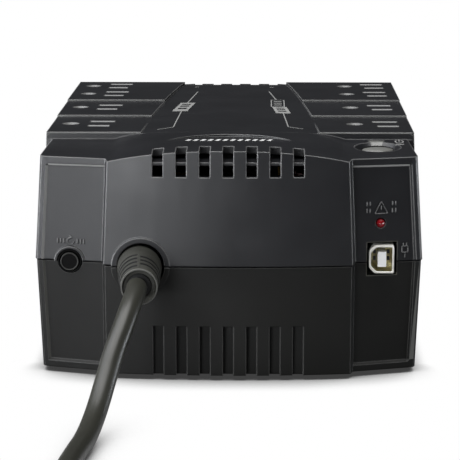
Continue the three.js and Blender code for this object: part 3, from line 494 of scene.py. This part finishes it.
def dress_nodes():
    """The finish of every CAD piece that no finer piece stands in for."""
    for name, material in (("upper_shell", "upper"), ("lower_shell", "lower"), ("battery_door", "lower")):
        dress(name, materials[material])
        settle(nodes[name])
    pick_walls()
    for i in range(1, 5):
        dress(f"foot_{i}", materials["rubber"], 0.5 * MM, 3)
        dress(f"shell_screw_{i}", materials["steel"])
    for name in ("breaker_body", "power_switch"):
        dress(name, materials["black"], 0.2 * MM)
    dress("breaker_collar", materials["dull_black"], 0.2 * MM)
    for name in ("power_switch_plunger", "usb_tongue",
                 "receptacle_carrier_left", "receptacle_carrier_right"):
        dress(name, materials["ivory"], 0.15 * MM)
    dress("fault_lamp", materials["lamp"])
    dress("plug_body", materials["rubber"], 0.8 * MM, 3)
    for name in ("plug_blade_line", "plug_blade_neutral", "plug_ground_pin"):
        dress(name, materials["brass"], 0.2 * MM)
    for side in ("left", "right"):
        for kind in ("ground", "neutral", "line"):
            dress(f"{kind}_bus_bar_{side}", materials["brass"])
    for name in ("battery_tab_positive", "battery_tab_negative"):
        dress(name, materials["brass"])
    for name in ("main_board", "port_board"):
        dress(name, materials["board"])
    for name in ("board_screw_near", "board_screw_far", "transformer_bracket"):
        dress(name, materials["steel"])
    dress("heatsink", materials["aluminium"])
    for name in ("relay_near", "relay_far"):
        dress(name, materials["relay"], 0.3 * MM)
    for name in ("filter_capacitor_near", "filter_capacitor_far"):
        dress(name, materials["film"], 0.3 * MM)
    dress("transformer_core", materials["laminations"])
    dress("transformer_winding", materials["winding"], 0.8 * MM)
    dress("battery", materials["battery"], 0.8 * MM)
    dress("battery_lead_positive", materials["red"])
    dress("battery_lead_negative", materials["black"])


dress_nodes()


# ---------------------------------------------------------------- detail meshes
def surface_mesh(name, verts, faces):
    data = bpy.data.meshes.new(name)
    data.from_pydata([tuple(v) for v in verts], [], faces)
    return data


def solid_mesh(name, verts, faces):
    """A mesh with doubled corners merged and its faces turned outwards."""
    data = surface_mesh(name, verts, faces)
    data.validate()
    tidy = bmesh.new()
    tidy.from_mesh(data)
    bmesh.ops.remove_doubles(tidy, verts=tidy.verts, dist=1e-7)
    bmesh.ops.recalc_face_normals(tidy, faces=tidy.faces)
    tidy.to_mesh(data)
    tidy.free()
    return data


def box_mesh(name, low, high):
    """A box between two corners given in millimetres from the rear face."""
    a, b = from_rear(low), from_rear(high)
    verts = [(x, y, z) for x in (a.x, b.x) for y in (a.y, b.y) for z in (a.z, b.z)]
    faces = [(0, 1, 3, 2), (4, 6, 7, 5), (0, 4, 5, 1), (2, 3, 7, 6), (0, 2, 6, 4), (1, 5, 7, 3)]
    return solid_mesh(name, verts, faces)


def turned(name, profile, place, sides):
    """Revolves (radius, along) pairs; place(radius, along, angle) gives each vertex in millimetres."""
    verts, faces = [], []
    for radius, along in profile:
        for k in range(sides):
            verts.append(place(radius, along, 2 * math.pi * k / sides))
    for j in range(len(profile) - 1):
        for k in range(sides):
            a, b = j * sides + k, j * sides + (k + 1) % sides
            faces.append((a, b, b + sides, a + sides))
    faces.append(tuple(range(sides)))
    faces.append(tuple(range((len(profile) - 1) * sides, len(profile) * sides)))
    return solid_mesh(name, [from_rear(v) for v in verts], faces)


# ---------------------------------------------------------------- strain relief
RELIEF = {"x": -32.85, "z": 43.15, "length": 22, "swing": 0.055, "droop": 0.105, "pitch": 3.3,
          "first": 8.6, "neck": 6, "cup": 2.6}


def relief_axis(along):
    """The x and z of the boot's middle: it droops and swings to the right outside the housing."""
    shift = -min(along, 0)
    return RELIEF["x"] + RELIEF["swing"] * shift, RELIEF["z"] - RELIEF["droop"] * shift


def relief_groove(along, angle):
    """Depth of the staggered flexing slots: one set on each side of the parting line."""
    depth, half_width, web = 0.95, 0.19, 0.10
    side = math.cos(angle)
    if along > -RELIEF["first"] + 1 or along < -RELIEF["length"] + 2.4 or abs(side) < web:
        return 0
    stagger = RELIEF["pitch"] / 2 if side > 0 else 0
    phase = (-along - RELIEF["first"] - stagger) / RELIEF["pitch"]
    return depth if abs(phase - round(phase)) < half_width else 0


def boot_radius(along):
    """The boot's outer radius between its flange and its cup."""
    share = (-along - RELIEF["neck"]) / (RELIEF["length"] - RELIEF["neck"] - RELIEF["cup"])
    return 7.9 - 1.1 * share ** 1.6


def shade_relief(piece):
    """Painted shade, near black, inside the slots and the cup, and a painted highlight line around the
    cup's rim.
    """
    piece.data.materials.append(materials["shade_black"])
    piece.data.materials.append(materials["relief_rim_highlight"])
    for face in piece.data.polygons:
        centre = (face.center - Vector((0, REAR, 0))) / MM
        x, z = relief_axis(centre.y)
        radius = math.hypot(centre.x - x, centre.z - z)
        in_slot = -19.3 < centre.y < -RELIEF["neck"] and radius < boot_radius(centre.y) - 0.3
        in_cup = centre.y < -18.5 and radius < 5.0
        on_rim = centre.y < -21.75 and radius >= 6.25
        if in_slot or in_cup:
            face.material_index = 1
        elif on_rim:
            face.material_index = 2


def make_relief():
    """The ribbed boot of the mains lead: a tapered sleeve, its cup, and a parting line on top."""
    end = -RELIEF["length"]
    neck, cup = -RELIEF["neck"], end + RELIEF["cup"]
    profile = [(8.1, 7.5), (8.3, 0.8), (8.15, -1.2), (7.95, -3), (7.9, -5)]
    steps = 66
    for i in range(steps + 1):
        along = neck + (cup - neck) * i / steps
        profile.append((boot_radius(along), along))
    profile += [(6.75, end + 2.2), (6.75, end + 1.6), (6.75, end + 0.4), (6.6, end), (6.2, end),
                (6.0, end + 0.4), (5.85, end + 1.2), (5.5, end + 1.5), (4.6, end + 1.6),
                (4.2, end + 1.2), (3.7, end + 1.1)]

    def place(radius, along, angle):
        if end + 2.5 < along <= neck and radius > 6:
            radius -= relief_groove(along, angle)
        x, z = relief_axis(along)
        return (x + radius * math.cos(angle), along, z + radius * math.sin(angle))

    piece = linked("strain_relief_boot", turned("strain_relief_boot", profile, place, 120),
                   materials["relief"])
    shade_relief(piece)
    crease(piece)
    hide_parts("strain_relief")
    make_parting_line(cup)


def make_parting_line(cup):
    """A thin ridge along the top of the boot, from the flange to the cup."""
    low, high = RELIEF["z"] + 6.05, RELIEF["z"] + 6.45
    seam = box_mesh("relief_parting_line", (RELIEF["x"] + 0.1, cup, low), (RELIEF["x"] + 0.4, -1.5, high))
    flange_lift, sleeve_lift, swing = 1.7, 0.55, 0.05
    for vertex in seam.vertices:
        along = (vertex.co.y - REAR) / MM
        lift = flange_lift if along > -5 else sleeve_lift
        vertex.co.z += (lift + RELIEF["droop"] * along) * MM
        vertex.co.x -= swing * along * MM
    linked("relief_parting_line", seam, materials["relief"])


# ---------------------------------------------------------------- data port
USB = {"x": 57.25, "z": 44.9, "half_width": 4.65, "half_height": 5.3, "corner": 2.1, "round": 0.6,
       "front": 9.6, "back": 20.5}


def port_outline(grow):
    """Rounded D outline of the connector, its two cut corners on the left."""
    w, h, c = USB["half_width"] + grow, USB["half_height"] + grow, USB["corner"]
    corners = [(w, -h), (w, h), (-w + c, h), (-w, h - c), (-w, -h + c), (-w + c, -h)]
    points = []
    for i, corner in enumerate(corners):
        before, after = Vector(corners[i - 1]), Vector(corners[(i + 1) % len(corners)])
        here = Vector(corner)
        entry = here + (before - here).normalized() * USB["round"]
        leave = here + (after - here).normalized() * USB["round"]
        points += [entry, (entry + 2 * here + leave) / 4, leave]
    return [(USB["x"] + p.x, USB["z"] + p.y) for p in points]


def port_walls(name, rings, closed_back):
    """Skins rings of (grow, along) into walls that share one outline."""
    verts, faces = [], []
    count = len(port_outline(0))
    for grow, along in rings:
        verts += [from_rear((x, along, z)) for x, z in port_outline(grow)]
    for j in range(len(rings) - 1):
        for k in range(count):
            a, b = j * count + k, j * count + (k + 1) % count
            faces.append((a, b, b + count, a + count))
    if closed_back:
        faces.append(tuple(range((len(rings) - 1) * count, len(rings) * count)))
    return solid_mesh(name, verts, faces)


def make_port():
    """The port's plated rim and gilt lining, four slots as near-black boxes of painted shade, and four
    contact leaves.
    """
    front, back = USB["front"], USB["back"]
    rim_rings = [(0, back), (0, front + 0.25), (-0.2, front), (-0.5, front), (-0.7, front + 0.25),
                 (-0.7, front + 1.2)]
    rim = linked("port_rim", port_walls("port_rim", rim_rings, False), materials["plated"])
    crease(rim)
    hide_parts("usb_shell")
    lining_rings = [(-0.68, front + 0.9), (-0.75, back - 1)]
    linked("port_lining", port_walls("port_lining", lining_rings, True), materials["gilt"])
    for side, column in ((-1, "left"), (1, "right")):
        for row, level in ((-1, "low"), (1, "high")):
            x, z = USB["x"] + side * 2.55, USB["z"] + 1.4 + row * 1.25
            slot = box_mesh("port_slot", (x - 0.5, front + 1.6, z - 0.6), (x + 0.5, front + 3.4, z + 0.6))
            linked(f"port_slot_{column}_{level}", slot, materials["shade_black"])
    for row in (-1.9, -0.65, 0.65, 1.9):
        leaf = box_mesh("port_contact", (USB["x"] + 1.55, front + 1.0, USB["z"] + row - 0.28),
                        (USB["x"] + 1.85, back - 2, USB["z"] + row + 0.28))
        linked(f"port_contact_{round(row * 100) + 200}", leaf, materials["brass"])


# ---------------------------------------------------------------- places on the housing
def skin_tree():
    """The two shells' own faces, for laying marks on."""
    verts, faces = [], []
    for name in ("upper_shell", "lower_shell"):
        data = nodes[name].data
        base = len(verts)
        verts += [nodes[name].matrix_world @ v.co for v in data.vertices]
        faces += [[base + k for k in p.vertices] for p in data.polygons]
    return BVHTree.FromPolygons(verts, faces)


SKIN = skin_tree()


def on_top(x, y, lift):
    """Lays a point given from the rear face on the top of the housing."""
    above = 120
    hit = SKIN.ray_cast(from_rear((x, y, above)), Vector((0, 0, -1)))[0]
    return hit + Vector((0, 0, lift * MM))


def on_rear(x, z, lift):
    """Lays a point of the rear view on the panel that faces the cord end."""
    outside = -40
    hit = SKIN.ray_cast(from_rear((x, outside, z)), Vector((0, 1, 0)))[0]
    return hit - Vector((0, lift * MM, 0))


# ---------------------------------------------------------------- controls
POWER = {"x": 56.4, "y": 31, "radius": 6.1, "rise": 1.4, "stem": 2, "skirt": 2.4}
BREAKER = {"x": -59.7, "z": 43.6, "radius": 3.55}
AXIS_RADIUS = 0.05


def make_power_dish_highlight():
    """A pale painted highlight that runs over the far rim of the button's dish, wider towards the far end.
    """
    verts, faces = [], []
    columns = 8
    rows = ((7.25, 1.7), (8.3, 2.0), (9.4, 2.35), (12.4, 3.3))
    nudge = Vector((0, -0.05, 0.08)) * MM
    for reach, half in rows:
        for i in range(columns + 1):
            x = POWER["x"] + half * (2 * i / columns - 1)
            y = POWER["y"] + math.sqrt(reach ** 2 - (x - POWER["x"]) ** 2)
            verts.append(on_top(x, y, 0) + nudge)
    for row in range(len(rows) - 1):
        for i in range(columns):
            a = row * (columns + 1) + i
            faces.append((a, a + 1, a + columns + 2, a + columns + 1))
    window = linked("power_dish_highlight", surface_mesh("power_dish_highlight", verts, faces),
                    materials["button_highlight"])
    thick = window.modifiers.new("thickness", "SOLIDIFY")
    thick.thickness = nudge.z


def make_power_button():
    """The domed button: glossy, its near part painted lighter as a painted highlight, and black behind and
    below.
    """
    low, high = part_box("power_button")
    bottom, top = low.z / MM, high.z / MM
    edge = top - POWER["rise"]
    steps = 14
    turns = [math.pi / 2 * i / steps for i in range(steps, 0, -1)]
    dome = [(POWER["radius"] * math.sin(t), edge + POWER["rise"] * math.cos(t)) for t in turns]
    underside = edge - POWER["skirt"]
    profile = [(AXIS_RADIUS, bottom), (POWER["stem"], bottom), (POWER["stem"], underside),
               (POWER["radius"], underside), *dome, (AXIS_RADIUS, top)]

    def upright(radius, along, angle):
        return (POWER["x"] + radius * math.cos(angle), POWER["y"] + radius * math.sin(angle), along)

    button = linked("power_button_cap", turned("power_button_cap", profile, upright, 64),
                    materials["button_highlight"], body="power_button")
    button.data.materials.append(materials["dull_black"])
    # The near part keeps the painted highlight; the far part and the skirt below are black.
    for face in button.data.polygons:
        across = (face.center.y - REAR) / MM - POWER["y"]
        if across > -1.2 or face.center.z < (edge - 0.6) * MM:
            face.material_index = 1
    crease(button)
    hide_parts("power_button")


def make_reset_button():
    """The breaker's cap, with a ring near its edge painted lighter as a painted highlight."""
    low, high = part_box("breaker_button")
    front, back = (low.y - REAR) / MM, (high.y - REAR) / MM
    radius = BREAKER["radius"]
    profile = [(AXIS_RADIUS, back), (radius, back), (radius, front + 0.45), (radius - 0.15, front + 0.12),
               (radius - 0.4, front), (radius - 0.65, front + 0.12), (radius - 0.8, front + 0.4),
               (AXIS_RADIUS, front + 0.4)]

    def facing(radius, along, angle):
        return (BREAKER["x"] + radius * math.cos(angle), along, BREAKER["z"] + radius * math.sin(angle))

    reset = linked("reset_button_cap", turned("reset_button_cap", profile, facing, 64),
                   materials["dull_black"], body="breaker_button")
    reset.data.materials.append(materials["ring_highlight"])
    for face in reset.data.polygons:
        centre = (face.center - Vector((0, REAR, 0))) / MM
        distance = math.hypot(centre.x - BREAKER["x"], centre.z - BREAKER["z"])
        if centre.y < front + 0.2 and radius - 0.75 < distance < radius - 0.2:
            face.material_index = 1
    crease(reset)
    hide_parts("breaker_button")


# ---------------------------------------------------------------- marks on the housing
RIBBON_STEP = 1.5
LEVEL_LIFT = 0.003
LINE = 0.45


def ribbon(points, width):
    """Rows of three points across a line of the given width, close enough to follow the surface."""
    rows = []
    for i in range(len(points) - 1):
        a, b = Vector(points[i]), Vector(points[i + 1])
        along = (b - a).normalized()
        across = Vector((-along.y, along.x)) * width / 2
        count = max(1, math.ceil((b - a).length / RIBBON_STEP))
        first = 0 if i == 0 else 1
        for k in range(first, count + 1):
            here = a + (b - a) * k / count
            rows.append([here - across, here, here + across])
    return rows


def mark(name, strokes, lay, material, lift=0.05, height=0.0):
    """Joins strokes of (points, width) into one thin mark; each stroke lies a hair over the one before."""
    verts, faces = [], []
    for level, (points, width) in enumerate(strokes):
        rows = ribbon(points, width)
        base = len(verts)
        verts += [lay(p.x, p.y, lift + height + LEVEL_LIFT * level) for row in rows for p in row]
        for j in range(len(rows) - 1):
            for k in range(2):
                a = base + j * 3 + k
                faces.append((a, a + 1, a + 4, a + 3))
    piece = linked(name, surface_mesh(name, verts, faces), material)
    thick = piece.modifiers.new("thickness", "SOLIDIFY")
    thick.thickness = (height + lift) * MM
    thick.offset = 0


def arc_points(x, y, radius, start, end, count=14, stretch=1.0):
    """Points along an arc between two angles in degrees; stretch lengthens it along y."""
    angles = [math.radians(start + (end - start) * i / count) for i in range(count + 1)]
    return [(x + radius * math.cos(a), y + radius * stretch * math.sin(a)) for a in angles]


def chain(corners, width):
    """Separate strokes from each corner to the next."""
    return [([a, b], width) for a, b in zip(corners, corners[1:])]


def box_strokes(x0, x1, y0, y1, lean):
    """A leaning filled label box with dark rows left open in it."""
    edge = 1.2
    rows = []
    for low, high in ((0, 0.24), (0.40, 0.52), (0.66, 0.74), (0.86, 1)):
        a, b = y0 + (y1 - y0) * low, y0 + (y1 - y0) * high
        middle = (a + b) / 2
        shift = lean * ((low + high) / 2 - 0.5)
        rows.append(([(x0 + shift, middle), (x1 + shift, middle)], b - a))
    for side in (x0 + edge / 2, x1 - edge / 2):
        rows.append(([(side - lean / 2, y0), (side + lean / 2, y1)], edge))
    return rows


def printed_marks():
    """Light lines on the hump that point to the two banks, with plain label boxes, bars and a symbol."""
    left = [([(-16.3, 170), (-19.5, 131)], LINE), *chain([(-21, 105), (-22.5, 59), (-28.5, 53.4)], LINE),
            ([(-18.2, 188.7), (-16.3, 188.7)], 1.4)]
    left += box_strokes(-23.6, -17.4, 104, 131, 2.6)
    right = [([(15.3, 171), (18.3, 142)], LINE), *chain([(21, 98), (22.7, 60), (28.5, 55.8)], LINE),
             ([(15.6, 188), (17.4, 188)], 1.4)]
    right += box_strokes(17.3, 23.3, 98, 118, -1.6)
    right += chain([(16.2, 118), (21.6, 118), (21.6, 141), (16.2, 141), (16.2, 118)], LINE)
    right += [([(17.2, y), (20.6, y)], 1.6) for y in (124, 130, 136)]
    mark("bank_pointer_left", left, on_top, materials["ink"])
    mark("bank_pointer_right", right, on_top, materials["ink"])
    bars = []
    count, half_span, lean = 12, 15.4, 0.5
    for i in range(count):
        x = half_span * (2 * i / (count - 1) - 1)
        bars.append(([(x - lean, 25.9), (x + lean, 29.9 + 0.8 * (1 - (x / 16) ** 2))], 1.5))
    mark("front_bars", bars, on_top, materials["bright_ink"])
    symbol = [(arc_points(65.2, 41.4, 1.5, 125, 415, 16, 1.7), 0.5), ([(65.2, 41.6), (65.2, 44.9)], 0.5),
              ([(63.6, 36.4), (66.8, 36.4)], 1.1)]
    mark("power_symbol", symbol, on_top, materials["ink"])


def upright_bars(places, low, high):
    return [([(x, low), (x, high)], LINE) for x in places]


def raised_marks():
    """Moulded symbols on the end panels: press to reset, warning, and data plug."""
    reset = [(arc_points(-59.2, 51.2, 1.3, 70, 350), 0.42),
             *chain([(-59.9, 51.7), (-58.75, 52.45), (-59.7, 53.3)], 0.42)]
    reset += upright_bars((-64.2, -63, -61.8, -56.6, -55.4, -54.2), 50.2, 52.1)
    fault = chain([(54.6, 62), (59.4, 62), (57, 66.5), (54.6, 62)], LINE)
    fault.append(([(57, 63.4), (57, 65)], 0.4))
    for low, high in ((62.3, 64), (65, 66.6)):
        fault += upright_bars((51.6, 52.8, 61.2, 62.4), low, high)
    plug = [([(66.1, 45), (66.1, 47)], LINE), ([(65, 47), (67.2, 47)], LINE),
            ([(65, 47), (65, 49.3)], LINE), ([(67.2, 47), (67.2, 49.3)], LINE),
            ([(65, 49.3), (67.2, 49.3)], LINE), ([(65.5, 49.3), (65.5, 50.6)], 0.35),
            ([(66.7, 49.3), (66.7, 50.6)], 0.35)]
    for name, strokes in (("reset_symbol", reset), ("warning_symbol", fault), ("data_symbol", plug)):
        mark(name, strokes, on_rear, materials["upper"], 0.02, 0.3)


def port_edge_highlight():
    """A painted highlight along the edge of the opening around the port, in an upper and a lower part that
    stop at the seam.
    """
    seam = SEAM / MM
    left, right, low, high, width = 51.7, 63.2, 38.45, 51.25, 0.3
    for half, edge, stop in (("upper", high, seam + 0.1), ("lower", low, seam - 0.7)):
        strokes = chain([(left, stop), (left, edge), (right, edge), (right, stop)], width)
        mark(f"port_edge_highlight_{half}", strokes, on_rear, materials["port_edge_highlight"], 0.03)


TERRACE_STARTS = (45.4, 90.0, 135.5)
BEAD_RADIUS = 0.5
BEAD_LIFT = 0.04


def bank_inner(y):
    """Half the width of the hump between the banks."""
    along = y - TERRACE_STARTS[0]
    return 34.45 - 0.034 * along - 0.000245 * along * along


def bead(name, places, out):
    """A quarter-round strip painted lighter, a painted highlight, laid along a moulded edge that faces up
    and out.
    """
    verts, faces = [], []
    steps = 4
    up = Vector((0, 0, 1))
    for place in places:
        for i in range(steps + 1):
            angle = math.pi / 2 * i / steps
            inward = out * (math.sin(angle) - 1) + up * (math.cos(angle) - 1)
            verts.append(place + inward * BEAD_RADIUS * MM + (out + up) * BEAD_LIFT * MM)
    for j in range(len(places) - 1):
        for i in range(steps):
            a = j * (steps + 1) + i
            faces.append((a, a + 1, a + steps + 2, a + steps + 1))
    piece = linked(name, surface_mesh(name, verts, faces), materials["terrace_highlight"])
    shade_smooth(piece)


def make_beads():
    """A painted highlight along the near edge of each terrace."""
    columns = 24
    for side, label in ((-1, "left"), (1, "right")):
        for k, start in enumerate(TERRACE_STARTS):
            inner, outer = bank_inner(start) + 0.2, 71.2 - k * 0.25
            row = []
            for i in range(columns + 1):
                x = inner + (outer - inner) * i / columns
                place = on_top(side * x, start + 0.6, 0)
                place.y = REAR + start * MM
                row.append(place)
            bead(f"terrace_edge_{label}_{k + 1}", row, Vector((0, -1, 0)))


# ---------------------------------------------------------------- coil tie
TIE = {"across": 38, "half": 11.6, "corner": 3.2, "low": 0.1, "high": 15.1, "half_width": 3, "wall": 0.7}


def make_tie():
    """A soft strap around one side of the coiled lead."""
    verts, faces = [], []
    corner, side = TIE["corner"], TIE["half"] - TIE["corner"]
    outline = []
    for x, z, start in ((side, TIE["high"] - corner, 0), (-side, TIE["high"] - corner, 90),
                        (-side, TIE["low"] + corner, 180), (side, TIE["low"] + corner, 270)):
        for i in range(7):
            angle = math.radians(start + 15 * i)
            outline.append((x + corner * math.cos(angle), z + corner * math.sin(angle)))
    count = len(outline)
    middle_x, middle_z = COIL["x"] + TIE["across"], (TIE["low"] + TIE["high"]) / 2
    near, far = -TIE["half_width"], TIE["half_width"]
    for along, inset in ((near, TIE["wall"]), (near, 0), (far, 0), (far, TIE["wall"])):
        scale = 1 - inset / TIE["half"]
        for x, z in outline:
            verts.append(from_rear((middle_x + x * scale, COIL["y"] + along,
                                    middle_z + (z - middle_z) * scale)))
    for j in range(4):
        for k in range(count):
            a, b = j * count + k, j * count + (k + 1) % count
            up = ((j + 1) % 4 - j) * count
            faces.append((a, b, b + up, a + up))
    tie = linked("coil_tie", solid_mesh("coil_tie", verts, faces), materials["black"])
    crease(tie)


make_relief()
make_port()
make_power_button()
make_power_dish_highlight()
make_reset_button()
printed_marks()
raised_marks()
port_edge_highlight()
make_beads()
make_tie()


# ---------------------------------------------------------------- floor and light
def seen_directly(tree, seen, otherwise):
    """Joins two shaders: one for the camera, the other for light that lands on the object."""
    path = tree.nodes.new("ShaderNodeLightPath")
    mix = tree.nodes.new("ShaderNodeMixShader")
    tree.links.new(path.outputs["Is Camera Ray"], mix.inputs["Fac"])
    tree.links.new(otherwise, mix.inputs[1])
    tree.links.new(seen, mix.inputs[2])
    return mix.outputs["Shader"]


def bounce_colour(tree):
    """What the table gives back: bright in front on the left and just past the far end, dark elsewhere."""
    axes = object_axes(tree)
    leftward = mapped(tree, axes["X"], 0.25, -0.35, 0.16, 0.85, smooth=True)
    forward = mapped(tree, axes["Y"], REAR + 0.06, REAR - 0.10, 0.03, 0.85, smooth=True)
    until = mapped(tree, axes["Y"], FAR + 0.45, FAR + 0.30, smooth=True)
    past = mapped(tree, axes["Y"], FAR - 0.02, FAR + 0.01, high=0.8)
    in_front = joined(tree, "MULTIPLY", leftward, forward)
    behind = joined(tree, "MULTIPLY", until, past)
    return joined(tree, "ADD", in_front, behind)


def contact_shade(tree):
    """White that darkens softly where something stands on the table, more so in front of the object."""
    reach = mapped(tree, object_axes(tree)["Y"], REAR + 0.005, REAR + 0.03, 0.026, 0.009)
    near = tree.nodes.new("ShaderNodeAmbientOcclusion")
    near.samples = 12
    tree.links.new(reach, near.inputs["Distance"])
    return mapped(tree, near.outputs["AO"], 0.30, 0.84, low=0.05)


def make_floor():
    """White sweep with a soft contact shade. The object gets the light of a partly flagged table."""
    half = 12.0
    corners = [(-half, -half, 0), (half, -half, 0), (half, half, 0), (-half, half, 0)]
    mesh = surface_mesh("floor", corners, [(0, 1, 2, 3)])
    floor = bpy.data.objects.new("floor", mesh)
    bpy.context.scene.collection.objects.link(floor)
    material = bpy.data.materials.new("pale_floor")
    material.use_nodes = True
    tree = material.node_tree
    tree.nodes.remove(tree.nodes["Principled BSDF"])
    white = tree.nodes.new("ShaderNodeEmission")
    tree.links.new(contact_shade(tree), white.inputs["Color"])
    bounce = tree.nodes.new("ShaderNodeBsdfDiffuse")
    tree.links.new(bounce_colour(tree), bounce.inputs["Color"])
    surface = seen_directly(tree, white.outputs["Emission"], bounce.outputs["BSDF"])
    tree.links.new(surface, tree.nodes["Material Output"].inputs["Surface"])
    mesh.materials.append(material)


def add_light(data, place, direction):
    light = bpy.data.objects.new(data.name, data)
    light.location = place
    light.rotation_euler = direction.to_track_quat("-Z", "Y").to_euler()
    bpy.context.scene.collection.objects.link(light)


def area_light(name, place, target, size, power, colour):
    data = bpy.data.lights.new(name, "AREA")
    data.shape = "RECTANGLE"
    data.size, data.size_y = size
    data.energy = power
    data.color = colour
    add_light(data, place, Vector(target) - Vector(place))


def sun(name, direction, strength, angle):
    data = bpy.data.lights.new(name, "SUN")
    data.energy = strength
    data.angle = math.radians(angle)
    add_light(data, (0, 0, 0), Vector(direction))


def make_world():
    """White for the camera, and close to dark for the object."""
    world = bpy.data.worlds.new("studio")
    bpy.context.scene.world = world
    world.use_nodes = True
    tree = world.node_tree
    dim = tree.nodes["Background"]
    dim.inputs["Color"].default_value = (0.95, 0.97, 1, 1)
    dim.inputs["Strength"].default_value = 0.04
    white = tree.nodes.new("ShaderNodeBackground")
    white.inputs["Strength"].default_value = 1.0
    surface = seen_directly(tree, white.outputs["Background"], dim.outputs["Background"])
    tree.links.new(surface, tree.nodes["World Output"].inputs["Surface"])


def make_lights():
    """Soft light from above, a high box and low strips at the sides, and a front fill.

    The strips keep under the housing's top, so that no view finds their glare on it.
    """
    cool, cooler, mild = (0.93, 0.95, 1), (0.90, 0.94, 1), (0.95, 0.97, 1)
    low = 0.045
    sun("overhead", (0.05, 0.1, -1), 2.7, 50)
    area_light("left_high", (-0.8, REAR + 0.05, 0.85), (0, REAR + 0.08, 0.08), (0.9, 0.9), 9, cool)
    area_light("left_strip", (-0.62, REAR - 0.08, low), (-0.05, REAR, low), (0.9, 0.075), 2.6, cool)
    area_light("right_strip", (0.62, REAR + 0.05, low), (0.05, REAR + 0.05, low), (0.7, 0.075), 1.7, cooler)
    area_light("front_fill", (-0.4, REAR - 1.0, 0.2), (0, REAR, 0.05), (0.4, 0.4), 4.6, mild)


make_floor()
make_world()
make_lights()
bpy.context.scene.view_settings.view_transform = "Standard"
